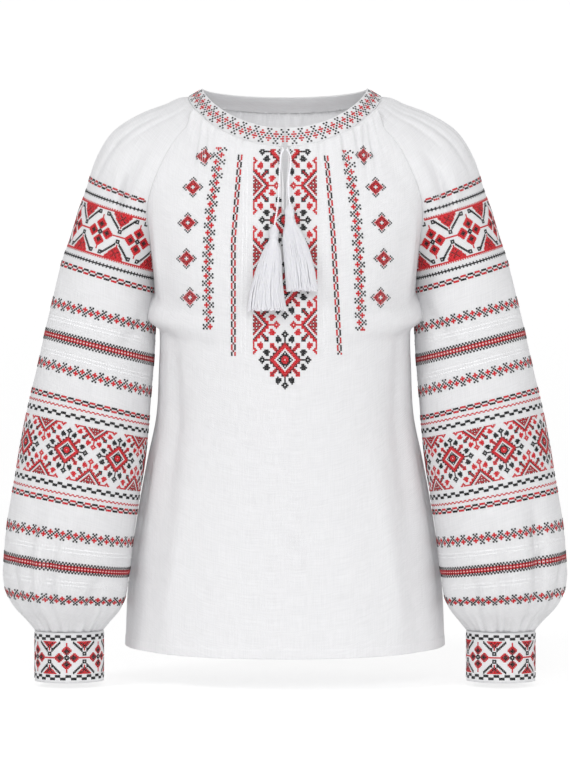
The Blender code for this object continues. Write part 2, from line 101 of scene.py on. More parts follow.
HEM_STEP = 0.45             # rise of the turned hem over the single cloth
SEAM_LAP = 0.5              # a body panel's edge runs this far under the sleeve's
BINDING_WIDTH = 1.9
SLIT_END = 76.0             # length of the slit below the neckband
NOTCH_ROUNDING = 6.0        # length over which the slit's notch closes at its lower end


# ---------------------------------------------------------------- tables, mm and degrees
def rows_of(kind, rows):
    return [kind(*row) for row in rows]


# Run is the length of cloth down from the neckband.  A sleeve row goes from the front seam over
# the outside of the arm to the back seam.  Sweep is the half angle that it covers round the arm,
# 180 where the sleeve is a closed tube.  Lean is how much higher the back half lies.
SleeveRow = namedtuple("SleeveRow", "run out_x out_z seam_x seam_z middle_y half_depth lean sweep")
SLEEVE_ROWS = rows_of(SleeveRow, [
    (0, 108.0, 10.5, 96.2, -1.8, -6, 82.0, 19.6, 27),
    (24, 134.5, 2.2, 109.0, -18.0, -6, 79.0, 16.0, 40),
    (50, 164.5, -9.6, 124.1, -37.5, -6, 73.0, 12.8, 55),
    (76, 192.5, -28.5, 135.8, -60.0, -6, 66.8, 10.6, 75),
    (104, 211.5, -59.0, 145.9, -86.7, -6, 62.7, 8.7, 95),
    (131, 221.5, -90.5, 150.8, -112.5, -6, 59.6, 7.2, 115),
    (162, 231.0, -117.0, 149.1, -141.4, -5, 57.0, 5.8, 131),
    (196, 239.0, -144.0, 146.7, -170.3, -5, 55.0, 4.3, 148),
    (238, 248.5, -172.5, 145.6, -203.0, -5, 56.0, 3.0, 180),
    (284, 259.4, -218.6, 144.6, -248.7, -7, 57.0, 1.5, 180),
    (319, 267.6, -253.2, 146.0, -283.5, -12, 58.5, 0.5, 180),
    (353, 274.1, -284.6, 148.8, -319.1, -17, 59.5, 0.0, 180),
    (400, 285.2, -333.6, 151.8, -362.6, -25, 60.0, 0.0, 180),
    (438, 292.7, -373.5, 155.4, -398.0, -32, 60.0, 0.0, 180),
    (476, 298.0, -409.1, 161.0, -435.7, -38, 60.5, 0.0, 180),
    (528, 306.6, -463.2, 167.5, -483.2, -44, 63.0, 0.0, 180),
    (564, 309.5, -499.6, 171.2, -517.3, -46, 65.0, 0.0, 180),
    (600, 306.0, -539.5, 175.6, -548.5, -47, 61.0, 0.0, 180),
    (618, 296.0, -558.5, 182.4, -562.0, -47, 53.0, 0.0, 180),
    (629, 285.0, -570.5, 191.5, -571.8, -47, 44.5, 0.0, 180),
    (638, 276.0, -581.6, 200.0, -581.6, -47, 36.0, 0.0, 180),
])

# A body row goes from one seam across the centre to the other.  Above the underarm its ends are
# on the sleeve's seam, and the side columns are not used.  Arc is the half angle that the row
# bends through, and full is below 1 where the section is flatter in the middle than an ellipse.
BodyRow = namedtuple("BodyRow", "run side_x side_y side_z centre_y centre_z arc full")
FRONT_ROWS = rows_of(BodyRow, [
    (0, 0, 0, 0, -88.0, -51.1, 63, 1.00),
    (24, 0, 0, 0, -92.5, -66.0, 66, 1.00),
    (50, 0, 0, 0, -98.5, -88.0, 69, 1.00),
    (76, 0, 0, 0, -104.0, -111.0, 72, 1.00),
    (104, 0, 0, 0, -108.5, -136.0, 75, 1.00),
    (131, 0, 0, 0, -111.5, -161.0, 78, 0.97),
    (162, 0, 0, 0, -113.5, -188.0, 82, 0.94),
    (196, 0, 0, 0, -114.5, -214.0, 86, 0.91),
    (238, 145.2, -5, -203.0, -114.5, -240.0, 90, 0.88),
    (284, 140.0, -4, -249.0, -113.5, -274.0, 90, 0.86),
    (330, 141.0, -3, -295.0, -112.5, -312.0, 90, 0.85),
    (380, 143.8, -2, -345.0, -112.5, -356.0, 90, 0.85),
    (430, 154.0, -1, -395.0, -113.0, -403.0, 90, 0.85),
    (500, 166.5, 0, -465.0, -115.0, -470.0, 90, 0.86),
    (570, 175.5, 0, -535.0, -117.5, -540.0, 90, 0.88),
    (635, 178.5, 0, -600.0, -119.0, -607.0, 90, 0.90),
])
# The back's rows differ from the front's in the middle only.
BACK_MIDDLES = [
    (76.0, 0.6), (82.5, -20.0), (90.0, -45.0), (96.0, -71.0),
    (100.5, -99.0), (103.0, -127.0), (104.5, -157.0), (104.5, -188.0),
    (103.0, -220.0), (100.0, -260.0), (98.0, -301.0), (97.5, -348.0),
    (99.0, -397.0), (103.0, -467.0), (107.0, -537.0), (109.0, -603.0),
]
BACK_ROWS = [row._replace(centre_y=y, centre_z=z)
             for row, (y, z) in zip(FRONT_ROWS, BACK_MIDDLES)]

# The keyhole slit: half its opening at each distance below the neckband.
SlitRow = namedtuple("SlitRow", "below half_opening")
SLIT_ROWS = rows_of(SlitRow, [
    (0, 1.1), (8, 2.4), (18, 2.9), (30, 1.9), (42, 1.1), (60, 0.9), (76, 0.6),
])

# The largest folds.  Across is -1 at one seam, 0 at the centre and 1 at the other.  Depth is
# outwards, so a trough is negative.  Width is in the same measure as across.
Fold = namedtuple("Fold", "across across_end run run_end width depth")
FRONT_FOLDS = rows_of(Fold, [
    (-0.62, -0.66, 300, 640, 0.10, -3.2), (0.60, 0.64, 300, 640, 0.10, -3.2),
    (-0.30, -0.33, 420, 660, 0.12, 1.6), (0.27, 0.30, 420, 660, 0.12, 1.6),
    (-0.78, -0.90, 10, 120, 0.09, -3.0), (0.78, 0.90, 10, 120, 0.09, -3.0),
])
BACK_FOLDS = rows_of(Fold, [
    (-0.55, -0.60, 260, 640, 0.11, -3.4), (0.52, 0.58, 260, 640, 0.11, -3.4),
    (0.02, 0.04, 200, 640, 0.13, 2.4), (-0.80, -0.90, 10, 130, 0.09, -3.0),
    (0.80, 0.90, 10, 130, 0.09, -3.0),
])
SLEEVE_FOLDS = rows_of(Fold, [
    (-0.62, -0.80, 20, 150, 0.10, -4.0), (0.62, 0.80, 20, 150, 0.10, -4.0),
    (-0.34, -0.30, 430, 640, 0.07, -4.5), (-0.62, -0.58, 470, 640, 0.08, -3.0),
    (0.36, 0.33, 440, 640, 0.08, -4.0), (0.70, 0.66, 400, 640, 0.08, -3.0),
])

# Tie cords, from the foot of the neckband down to the top of the tassel.  Ahead is the distance
# of the cord's middle in front of the cloth.
CordPoint = namedtuple("CordPoint", "x z ahead")
TIE_CORDS = {
    "right": rows_of(CordPoint, [
        (-1.5, -55.5, 2.4), (-4.0, -60.0, 3.2), (-5.0, -67.0, 3.4), (-5.8, -80.0, 3.2),
        (-6.6, -96.0, 3.2), (-7.4, -112.0, 3.4), (-9.0, -125.0, 4.2), (-11.2, -138.0, 6.6),
    ]),
    "left": rows_of(CordPoint, [
        (1.5, -55.5, 2.4), (4.6, -59.5, 3.2), (6.2, -66.0, 3.4), (5.6, -75.0, 3.2),
        (4.0, -87.0, 3.2), (3.6, -101.0, 3.4), (4.2, -109.0, 4.4), (4.8, -116.0, 6.6),
    ]),
}

# Tassels, from the top of the head to the cut ends.  Middle is the x of the section's centre.
TasselRow = namedtuple("TasselRow", "z middle half_width half_depth")
TASSELS = {
    "right": rows_of(TasselRow, [
        (-139.0, -11.4, 1.6, 1.6), (-141.5, -11.6, 4.4, 4.2),
        (-147.0, -11.8, 5.8, 5.4), (-152.0, -12.0, 4.6, 4.6),
        (-155.5, -12.4, 4.8, 4.6), (-168.4, -14.4, 10.6, 6.2),
        (-184.4, -16.8, 14.2, 7.0), (-200.3, -18.8, 17.0, 7.4),
        (-216.3, -19.8, 19.8, 7.8), (-231.0, -19.4, 22.4, 8.2),
    ]),
    "left": rows_of(TasselRow, [
        (-117.0, 4.9, 1.6, 1.6), (-119.5, 5.0, 4.6, 4.4),
        (-125.5, 5.0, 5.9, 5.6), (-131.5, 5.1, 4.8, 4.6),
        (-135.0, 5.6, 5.2, 4.8), (-149.9, 8.6, 11.6, 6.0),
        (-166.1, 12.2, 14.8, 6.6), (-182.3, 15.2, 16.4, 7.0),
        (-197.1, 17.0, 17.2, 7.4), (-210.0, 18.8, 17.8, 7.6),
    ]),
}
TASSEL_OFF_CLOTH = 1.4
TASSEL_AHEAD = 6.6          # least distance of its middle from the cloth, as of the cord's end


# Creases of the cloth, placed one by one.  Each row is one soft trough or ridge: where it starts
# and ends, how wide it is in the measure of across or turn, and how deep in mm.
SLEEVE_CREASES = {
    "right": rows_of(Fold, [
        (-0.16, -0.10, 6, 118, 0.050, -1.5), (-0.34, -0.20, 10, 92, 0.045, 1.2),
        (-0.50, -0.30, 14, 128, 0.050, -1.6), (-0.68, -0.52, 8, 84, 0.045, -1.3),
        (-0.80, -0.74, 60, 150, 0.060, -2.6), (-0.62, -0.66, 96, 176, 0.070, 1.8),
        (-0.86, -0.62, 246, 330, 0.050, -1.4), (-0.10, -0.22, 210, 400, 0.090, 1.1),
        (-0.52, -0.46, 330, 520, 0.080, -1.3), (-0.46, -0.41, 505, 632, 0.035, -2.6),
        (-0.36, -0.37, 515, 634, 0.030, 1.5), (-0.72, -0.62, 560, 636, 0.040, -2.0),
        (-0.18, -0.24, 548, 634, 0.040, -1.8), (0.20, 0.12, 8, 110, 0.050, -1.5),
        (0.44, 0.30, 12, 126, 0.055, -1.4), (0.70, 0.66, 50, 150, 0.060, -2.3),
        (0.30, 0.40, 240, 460, 0.080, -1.4), (0.58, 0.50, 300, 560, 0.080, 1.2),
        (0.24, 0.28, 540, 634, 0.040, -2.1), (0.52, 0.56, 520, 636, 0.045, -2.3),
        (0.82, 0.86, 556, 634, 0.040, -1.7),
    ]),
    "left": rows_of(Fold, [
        (-0.18, -0.12, 6, 110, 0.050, -1.4), (-0.30, -0.22, 12, 100, 0.040, 1.1),
        (-0.52, -0.34, 10, 120, 0.050, -1.7), (-0.70, -0.56, 12, 90, 0.045, -1.1),
        (-0.82, -0.74, 64, 156, 0.060, -2.8), (-0.60, -0.66, 104, 170, 0.065, 1.6),
        (-0.84, -0.58, 250, 322, 0.055, -1.6), (-0.14, -0.20, 230, 380, 0.090, 1.2),
        (-0.56, -0.50, 345, 500, 0.080, -1.1), (-0.30, -0.34, 498, 634, 0.035, -2.4),
        (-0.55, -0.50, 530, 634, 0.035, -2.2), (-0.70, -0.68, 552, 636, 0.040, -1.8),
        (-0.12, -0.16, 560, 634, 0.035, -1.9), (0.18, 0.10, 8, 104, 0.050, -1.3),
        (0.48, 0.34, 12, 132, 0.050, -1.5), (0.72, 0.68, 54, 146, 0.060, -2.4),
        (0.34, 0.42, 250, 440, 0.080, -1.2), (0.62, 0.52, 310, 540, 0.080, 1.3),
        (0.20, 0.24, 536, 634, 0.040, -2.0), (0.48, 0.54, 528, 636, 0.045, -2.2),
        (0.80, 0.84, 550, 634, 0.040, -1.8),
    ]),
}
FRONT_CREASES = rows_of(Fold, [
    (-0.92, -0.60, 4, 74, 0.030, -1.2), (-0.80, -0.52, 6, 66, 0.028, -1.0),
    (-0.66, -0.46, 4, 58, 0.026, 0.8), (-0.52, -0.40, 6, 70, 0.026, -0.8),
    (0.90, 0.62, 4, 70, 0.030, -1.1), (0.78, 0.54, 6, 74, 0.028, -1.0),
    (0.64, 0.47, 4, 60, 0.026, 0.8), (0.54, 0.42, 6, 64, 0.026, -0.8),
    (-0.88, -0.72, 120, 260, 0.060, 1.6), (0.86, 0.72, 120, 250, 0.060, 1.5),
    (-0.70, -0.58, 250, 500, 0.060, -1.4), (0.72, 0.62, 240, 520, 0.060, -1.3),
    (-0.46, -0.52, 440, 640, 0.060, 1.0), (0.44, 0.50, 420, 640, 0.060, 1.1),
    (-0.82, -0.86, 380, 640, 0.040, -1.3), (0.84, 0.88, 400, 640, 0.040, -1.2),
])
BACK_CREASES = rows_of(Fold, [
    (-0.90, -0.58, 4, 78, 0.032, -1.2), (-0.60, -0.44, 6, 68, 0.028, -0.9),
    (-0.24, -0.20, 4, 72, 0.028, -0.9), (0.22, 0.20, 4, 66, 0.028, 0.8),
    (0.58, 0.44, 6, 72, 0.028, -1.0), (0.88, 0.60, 4, 74, 0.032, -1.1),
    (-0.30, -0.26, 90, 420, 0.060, -1.4), (0.34, 0.26, 110, 380, 0.060, -1.3),
    (-0.76, -0.70, 240, 560, 0.060, -1.5), (0.74, 0.70, 260, 600, 0.060, -1.4),
    (-0.08, -0.16, 380, 640, 0.060, -1.2), (0.30, 0.34, 400, 640, 0.055, 1.2),
])

# Embroidery borders on the front: x and z along the middle of each, from top to bottom.
CHAIN_LINES = {
    "right": [(-48.8, -60.7), (-55.8, -154.6), (-55.8, -279.9)],
    "left": [(45.1, -61.7), (52.2, -152.0), (59.2, -278.8)],
}
FLORAL_LINES = {
    "right": [(-69.9, -52.1), (-80.6, -122.2), (-83.9, -181.6), (-82.8, -251.8)],
    "left": [(67.3, -55.3), (76.6, -122.0), (80.4, -181.6), (82.4, -251.8)],
}
# White lines run either side of the borders, each leaning outwards on its way down.
WHITE_LINE_TOPS = (-44.5, -40.5, 40.0, 43.5)
WHITE_LINE_ENDS = (-64.0, -278.0)
WHITE_LINE_LEAN = 1.06
SMALL_DIAMONDS = [
    (-88.7, -61.8), (-100.1, -96.3), (-105.5, -135.2), (-107.1, -174.0), (-103.3, -216.2),
    (86.7, -60.7), (98.6, -96.3), (105.1, -135.2), (107.2, -174.0), (104.0, -216.2),
]
PANEL_DIAMOND_Z = -133.1    # middle of a whole diamond of the centre panel
PANEL_TOP_Z = -55.5

# One cross-stitch of each kind of work: across and down, or the same both ways.
PANEL_CELL = (1.536, 1.718)
CHAIN_CELL = (1.75, 2.07)
FLORAL_CELL = (1.80, 1.96)
WHITE_LINE_CELL = (1.0, 1.5)
BAND_CELL = (1.95, 1.9)
SMALL_CELL = 1.5
DRAWN_THREAD_CELL = 1.5
SLEEVE_CELL = 1.37
CUFF_CELL = 1.42


# ---------------------------------------------------------------- surfaces
def path_lengths(points):
    """Distance of each point of a line from its first one, along the line."""
    return np.concatenate([[0], np.cumsum(np.linalg.norm(np.diff(points, axis=0), axis=1))])


def read_rows(rows, run):
    """Return a table's columns at any runs, on smooth curves through them."""
    table = np.array(rows, dtype=float)
    knots = table[:, 0]
    run = np.clip(np.asarray(run, dtype=float), knots[0], knots[-1])
    steps = np.diff(knots)
    slopes = np.diff(table, axis=0) / steps[:, None]
    tangents = np.empty_like(table)
    tangents[0] = slopes[0]
    tangents[-1] = slopes[-1]
    before = steps[:-1, None]
    after = steps[1:, None]
    tangents[1:-1] = (slopes[:-1] * after + slopes[1:] * before) / (before + after)
    index = np.clip(np.searchsorted(knots, run, side="right") - 1, 0, len(steps) - 1)
    step = steps[index][..., None]
    share = (run - knots[index])[..., None] / step
    value = (
        table[index] * (1 + 2 * share) * (1 - share) ** 2
        + tangents[index] * step * share * (1 - share) ** 2
        + table[index + 1] * share**2 * (3 - 2 * share)
        - tangents[index + 1] * step * share**2 * (1 - share)
    )
    return type(rows[0])(*np.moveaxis(value, -1, 0))


def neck_height(angle, side_z, front_drop, back_drop):
    facing = np.cos(angle)
    drop = np.where(facing > 0, front_drop, back_drop)
    return side_z - drop * np.abs(facing) ** NECK_DROP_POWER


def neck_foot(angle):
    """Points where panels and neckband meet; angle 0 is the front, pi the back."""
    return np.stack([
        NECK_HALF_WIDTH * np.sin(angle),
        NECK_CENTRE_Y - NECK_HALF_DEPTH * np.cos(angle),
        neck_height(angle, NECK_SIDE_Z, NECK_FRONT_DROP, NECK_BACK_DROP),
    ], axis=-1)


def neck_top(angle):
    """Points of the neckband's upper edge."""
    return np.stack([
        BAND_TOP_HALF_WIDTH * np.sin(angle),
        BAND_TOP_CENTRE_Y - BAND_TOP_HALF_DEPTH * np.cos(angle),
        neck_height(angle, BAND_TOP_SIDE_Z, BAND_TOP_FRONT_DROP, BAND_TOP_BACK_DROP),
    ], axis=-1)


def neck_share(run):
    """How far a row still follows the neckline: 1 at the neckband, 0 from the second row on."""
    left = np.clip(1.0 - run / SLEEVE_ROWS[1].run, 0.0, 1.0)
    return left * left * (3 - 2 * left)


def fold_depth(folds, across, run):
    """Depth of the largest folds at a place on a panel, in mm outwards."""
    depth = np.zeros(np.broadcast(across, run).shape)
    for fold in folds:
        share = (run - fold.run) / (fold.run_end - fold.run)
        middle = fold.across + (fold.across_end - fold.across) * share
        offset = (across - middle) / fold.width
        fade = np.sin(np.pi * share) if fold.run < 100 else np.minimum(1.0, 2.5 * share)
        inside = (share > 0) & (share < 1)
        depth = depth + np.where(inside, fold.depth * fade * np.exp(-offset * offset), 0.0)
    return depth


def crease_depth(creases, across, run):
    """Depth of the smaller creases, which fade out softly at both ends."""
    depth = np.zeros(np.broadcast(across, run).shape)
    for crease in creases:
        share = np.clip((run - crease.run) / (crease.run_end - crease.run), 0.0, 1.0)
        middle = crease.across + (crease.across_end - crease.across) * share
        offset = (across - middle) / crease.width
        depth = depth + crease.depth * np.sin(np.pi * share) ** 0.8 * np.exp(-offset * offset)
    return depth


CREASE_GAIN = 2.6           # linen creases more deeply than a softer cloth
Gathers = namedtuple("Gathers", "centres widths lengths depths leans")


def make_gathers(seed, count, span, length, depth, lean=0.0):
    """Uneven gathers spread over a span, which is measured as across or turn."""
    random = np.random.default_rng(seed)
    spacing = 2 * span / count
    centres = -span + spacing * (np.arange(count) + 0.5 + random.uniform(-0.28, 0.28, count))
    return Gathers(
        centres,
        spacing * random.uniform(0.20, 0.36, count),
        length * random.uniform(0.45, 1.25, count),
        depth * random.uniform(0.5, 1.3, count),
        -lean * centres / 100.0,
    )


def gather_depth(gathers, place, distance):
    """Depth of gathers at a place along a seam and a distance in mm from it."""
    depth = np.zeros(np.broadcast(place, distance).shape)
    for centre, width, length, deep, lean in zip(*gathers):
        share = np.clip(1.0 - distance / length, 0.0, 1.0)
        offset = (place - centre - lean * distance) / width
        depth = depth - deep * share**1.3 * np.exp(-offset * offset)
    return depth


NECK_GATHERS = {
    "front": make_gathers(3, 24, 1.0, 56.0, 2.8, lean=0.28),
    "back": make_gathers(5, 24, 1.0, 54.0, 2.8, lean=0.28),
    "sleeve": make_gathers(7, 11, 1.0, 60.0, 3.0, lean=0.20),
}
CUFF_PLEATS = {
    "right": make_gathers(11, 26, 1.0, 56.0, 4.4),
    "left": make_gathers(13, 26, 1.0, 56.0, 4.4),
}
SLEEVE_SIDES = {"left": 1, "right": -1}


def sleeve_surface(run, turn, name="left", fine=True):
    """Points on a sleeve; turn is -1 at the front seam, 0 on the arm's outside, 1 behind."""
    run, turn = np.broadcast_arrays(np.asarray(run, dtype=float), np.asarray(turn, dtype=float))
    row = read_rows(SLEEVE_ROWS, run)
    closed = run >= UNDERARM_RUN
    sweep = np.where(closed, np.pi, np.radians(np.minimum(row.sweep, 180.0)))
    angle = turn * sweep
    rise = (np.cos(angle) - np.cos(sweep)) / (1 - np.cos(sweep))
    depth = np.zeros(run.shape)
    if fine:
        closing = np.clip((run - CLOSING_RUN) / (SLEEVE_END_RUN - CLOSING_RUN), 0.0, 1.0)
        pleats = CLOSING_PLEAT * np.sin(np.pi * closing) * np.cos(CUFF_GATHERS * angle)
        edge = np.where(closed, 1.0, 1.0 - np.abs(turn) ** 8)
        depth = (fold_depth(SLEEVE_FOLDS, turn, run) + pleats) * edge
        depth = depth * np.minimum(1.0, (SLEEVE_END_RUN - run) / 12.0)
        small = CREASE_GAIN * crease_depth(SLEEVE_CREASES[name], turn, run)
        small = small + gather_depth(NECK_GATHERS["sleeve"], turn, run)
        depth = depth + small * (1.0 - np.abs(turn) ** 12)
        depth = depth + gather_depth(CUFF_PLEATS[name], turn, SLEEVE_END_RUN - run)
    half_width = np.hypot(row.out_x - row.seam_x, row.out_z - row.seam_z) / 2
    grow = 1.0 + depth / np.maximum(half_width, row.half_depth)
    middle_x = (row.out_x + row.seam_x) / 2
    middle_z = (row.out_z + row.seam_z) / 2
    x = middle_x + (row.seam_x + (row.out_x - row.seam_x) * rise - middle_x) * grow
    y = row.middle_y + row.half_depth * np.sin(angle) * grow
    z = middle_z + (row.seam_z + (row.out_z - row.seam_z) * rise - middle_z) * grow
    z = z + row.lean * np.sin(angle)
    z = z + neck_share(run) * (neck_foot(np.pi / 2 + angle)[..., 2] - z)
    return np.stack([SLEEVE_SIDES[name] * x, y, z], axis=-1)


def body_surface(run, across, back=False, fine=True):
    """Points on the front or back panel; across is -1 at the seam at -X and 1 at +X."""
    run, across = np.broadcast_arrays(np.asarray(run, dtype=float), np.asarray(across, dtype=float))
    row = read_rows(BACK_ROWS if back else FRONT_ROWS, run)
    seam = sleeve_surface(run, 1 if back else -1, fine=False)
    above = run < UNDERARM_RUN
    end_x = np.where(above, seam[..., 0] + SEAM_LAP, row.side_x)
    end_y = np.where(above, seam[..., 1], row.side_y) + SEAM_LAP * (-0.5 if back else 0.5)
    end_z = np.where(above, seam[..., 2], row.side_z)
    arc = np.radians(np.minimum(row.arc, 90.0))
    angle = across * arc
    flat = np.cos(arc) ** row.full
    bend = (np.cos(angle) ** row.full - flat) / (1 - flat)
    x = end_x * np.sin(angle) / np.sin(arc)
    y = end_y + (row.centre_y - end_y) * bend
    z = end_z + (row.centre_z - end_z) * bend
    neck_angle = np.arcsin(np.clip(x / NECK_HALF_WIDTH, -1.0, 1.0))
    if back:
        neck_angle = np.pi - neck_angle
    z = z + neck_share(run) * (neck_foot(neck_angle)[..., 2] - z)
    depth = np.zeros(run.shape)
    if fine:
        depth = fold_depth(BACK_FOLDS if back else FRONT_FOLDS, across, run)
        depth = depth * (1 - np.abs(across) ** 6)
        small = CREASE_GAIN * crease_depth(BACK_CREASES if back else FRONT_CREASES, across, run)
        small = small + gather_depth(NECK_GATHERS["back" if back else "front"], across, run)
        depth = depth + small * (1 - np.abs(across) ** 12)
        depth = depth + HEM_STEP * np.clip((run - (HEM_RUN - HEM_DEPTH)) / 0.8, 0.0, 1.0)
    y = y + depth * np.cos(angle) * (1 if back else -1)
    x = x + depth * np.sin(angle)
    return np.stack([x, y, z], axis=-1)


def slit_opening(below):
    """Half the slit's opening at a distance below the neckband."""
    return np.maximum(0.3, read_rows(SLIT_ROWS, below).half_opening)


def panel_notch(below):
    """Half the width of the front panel's notch, which holds the slit and its bindings."""
    closing = np.clip((SLIT_END - below) / NOTCH_ROUNDING, 0.0, 1.0)
    return (slit_opening(below) + BINDING_WIDTH + SEAM_GAP) * np.sqrt(closing)


def across_at(run, x):
    """Across value of the front panel at a run and an x."""
    arc = np.radians(np.minimum(read_rows(FRONT_ROWS, run).arc, 90.0))
    end_x = body_surface(run, 1.0, fine=False)[..., 0]
    return np.arcsin(np.clip(x * np.sin(arc) / end_x, -1.0, 1.0)) / arc


def front_place(x, z):
    """Run and across of the front panel's point at an x and a z, by halving."""
    x, z = np.broadcast_arrays(np.asarray(x, dtype=float), np.asarray(z, dtype=float))
    low = np.zeros(x.shape)
    high = np.full(x.shape, HEM_RUN)
    for _ in range(26):
        middle = (low + high) / 2
        above = body_surface(middle, across_at(middle, x), fine=False)[..., 2] > z
        low = np.where(above, middle, low)
        high = np.where(above, high, middle)
    run = (low + high) / 2
    return run, across_at(run, x)


def front_surface(x, z):
    run, across = front_place(x, z)
    return body_surface(run, across)


def band_surface(angle, height):
    """Points on the neckband's outside, which stands a little proud of the cloth it holds."""
    foot = neck_foot(angle)
    top = neck_top(angle)
    height = np.asarray(height, dtype=float)[..., None]
    return foot + (top - foot) * height


def cuff_surface(name, angle, z):
    """Points on a cuff's outside; angle 0 is its outer side and -pi/2 its front."""
    x = CUFF_CENTRE_X + CUFF_HALF_WIDTH * np.cos(angle)
    y = CUFF_CENTRE_Y + CUFF_HALF_DEPTH * np.sin(angle)
    x, y, z = np.broadcast_arrays(x, y, z)
    return np.stack([SLEEVE_SIDES[name] * x, y, z], axis=-1)


# ---------------------------------------------------------------- nodes
def add_node(tree, kind, inputs=None, **settings):
    """Add a node with its settings, and its inputs as values or as links."""
    node = tree.nodes.new(kind)
    for name, value in settings.items():
        setattr(node, name, value)
    for key, value in (inputs or {}).items():
        if isinstance(value, bpy.types.NodeSocket):
            tree.links.new(value, node.inputs[key])
        else:
            node.inputs[key].default_value = value
    return node


def set_inputs(shader, values):
    for name, value in values.items():
        shader.inputs[name].default_value = value


def hex_colour(code):
    """Linear colour of an sRGB hex value."""
    channels = [int(code[place:place + 2], 16) / 255 for place in (1, 3, 5)]
    linear = [value / 12.92 if value <= 0.04045 else ((value + 0.055) / 1.055) ** 2.4
              for value in channels]
    return (*linear, 1.0)


def new_shader(name):
    """A new material and its shader."""
    material = bpy.data.materials.new(name)
    material.use_nodes = True
    return material, material.node_tree.nodes["Principled BSDF"]


def blend(tree, value, low, high, shade, light):
    """Colour that goes from a shade to a light tone as a pattern's value rises."""
    tone = add_node(tree, "ShaderNodeMapRange", {"Value": value, 1: low, 2: high}).outputs[0]
    return add_node(tree, "ShaderNodeMix",
                    {0: tone, 6: hex_colour(shade), 7: hex_colour(light)},
                    data_type="RGBA").outputs[2]


def dress(tree, shader, base, bump, through):
    """Give the shader its colour and relief, and let a share of the light through the fibres."""
    tree.links.new(base, shader.inputs["Base Color"])
    tree.links.new(bump, shader.inputs["Normal"])
    if through:
        spread = add_node(tree, "ShaderNodeBsdfTranslucent", {"Color": base, "Normal": bump})
        mixed = add_node(tree, "ShaderNodeMixShader",
                         {0: through, 1: shader.outputs["BSDF"], 2: spread.outputs[0]})
        tree.links.new(mixed.outputs[0], tree.nodes["Material Output"].inputs["Surface"])


LIGHT_THROUGH = 0.45        # share that each face of the cloth's wall lets through


def cloth_material(name, light, shade, thread_pitch, weave_depth, roughness):
    """Plain-weave linen on the piece's own cloth map, whose unit is one metre of cloth."""
    material, shader = new_shader(name)
    tree = material.node_tree
    cloth_map = add_node(tree, "ShaderNodeUVMap", uv_map="cloth").outputs["UV"]
    threads = add_node(tree, "ShaderNodeVectorMath",
                       {0: cloth_map, 1: (math.pi / thread_pitch,) * 3},
                       operation="MULTIPLY").outputs[0]
    split = add_node(tree, "ShaderNodeSeparateXYZ", {0: threads})
    warp, weft = (add_node(tree, "ShaderNodeMath", {0: split.outputs[way]},
                           operation="SINE").outputs[0] for way in "XY")
    weave = add_node(tree, "ShaderNodeMath", {0: warp, 1: weft}, operation="MULTIPLY").outputs[0]
    slubs = []
    for stretch in ((900.0, 45.0, 1.0), (40.0, 820.0, 1.0)):
        place = add_node(tree, "ShaderNodeVectorMath", {0: cloth_map, 1: stretch},
                         operation="MULTIPLY").outputs[0]
        slubs.append(add_node(tree, "ShaderNodeTexNoise",
                              {"Vector": place, "Scale": 1.0, "Detail": 2.0}).outputs["Fac"])
    slub = add_node(tree, "ShaderNodeMath", {0: slubs[0], 1: slubs[1]}, operation="ADD").outputs[0]
    height = add_node(tree, "ShaderNodeMath", {0: slub, 1: 0.9, 2: weave},
                      operation="MULTIPLY_ADD").outputs[0]
    base = blend(tree, slub, 0.70, 1.25, shade, light)
    bump = add_node(tree, "ShaderNodeBump", {"Height": height, "Strength": 0.5,
                                             "Distance": weave_depth}).outputs[0]
    set_inputs(shader, {"Roughness": roughness, "IOR": 1.5, "Specular IOR Level": 0.25,
                        "Sheen Weight": 0.12, "Sheen Roughness": 0.5})
    dress(tree, shader, base, bump, LIGHT_THROUGH)
    return material


def thread_material(name, light, shade, roughness, sheen, through=0.0):
    """Spun cotton thread: fine fibres give it small changes of tone and a soft gleam."""
    material, shader = new_shader(name)
    tree = material.node_tree
    place = add_node(tree, "ShaderNodeTexCoord").outputs["Object"]
    patch, fibres = (add_node(tree, "ShaderNodeTexNoise",
                              {"Vector": place, "Scale": scale, "Detail": 1.0}).outputs["Fac"]
                     for scale in (420.0, 3000.0))
    base = blend(tree, patch, 0.3, 0.7, shade, light)
    bump = add_node(tree, "ShaderNodeBump", {"Height": fibres, "Strength": 0.4,
                                             "Distance": 0.0001}).outputs[0]
    set_inputs(shader, {"Roughness": roughness, "IOR": 1.53, "Specular IOR Level": 0.3,
                        "Sheen Weight": sheen})
    dress(tree, shader, base, bump, through)
    return material


# Bleached linen, plain weave: a matt white with slubs, where one thread runs thicker.  The
# threads are 0.7 mm apart on such cloth; they are drawn 0.9 mm apart so that they show.
linen = cloth_material("bleached_linen", "#F4F4F5", "#ECECED", 0.0009, 0.00016, 0.85)
# Neckband and cuffs are two layers of the same linen, pressed flatter.
linen_band = cloth_material("pressed_linen", "#F4F4F5", "#EDEDEE", 0.0009, 0.00012, 0.8)
# Stranded embroidery cotton, dyed: mercerised, so it gleams a little more than the linen.
THREADS = {
    "r": ("red", thread_material("stranded_cotton_red", "#C01420", "#A60E18", 0.6, 0.1)),
    "d": ("dark_red", thread_material("stranded_cotton_dark_red", "#6A0A14", "#50060D", 0.6, 0.1)),
    "k": ("black", thread_material("stranded_cotton_black", "#0D0D12", "#050507", 0.6, 0.05)),
    "w": ("white", thread_material("stranded_cotton_white", "#EEEEEF", "#E4E4E6", 0.6, 0.1)),
}
# Twisted cotton cord and mercerised tassel yarn: cooler and glossier than the linen.
cord_cotton = thread_material("twisted_cotton", "#FDFDFF", "#F5F5F9", 0.6, 0.1, through=0.3)
tassel_cotton = thread_material("mercerised_cotton", "#FEFEFF", "#FAFAFD", 0.6, 0.1, through=0.6)


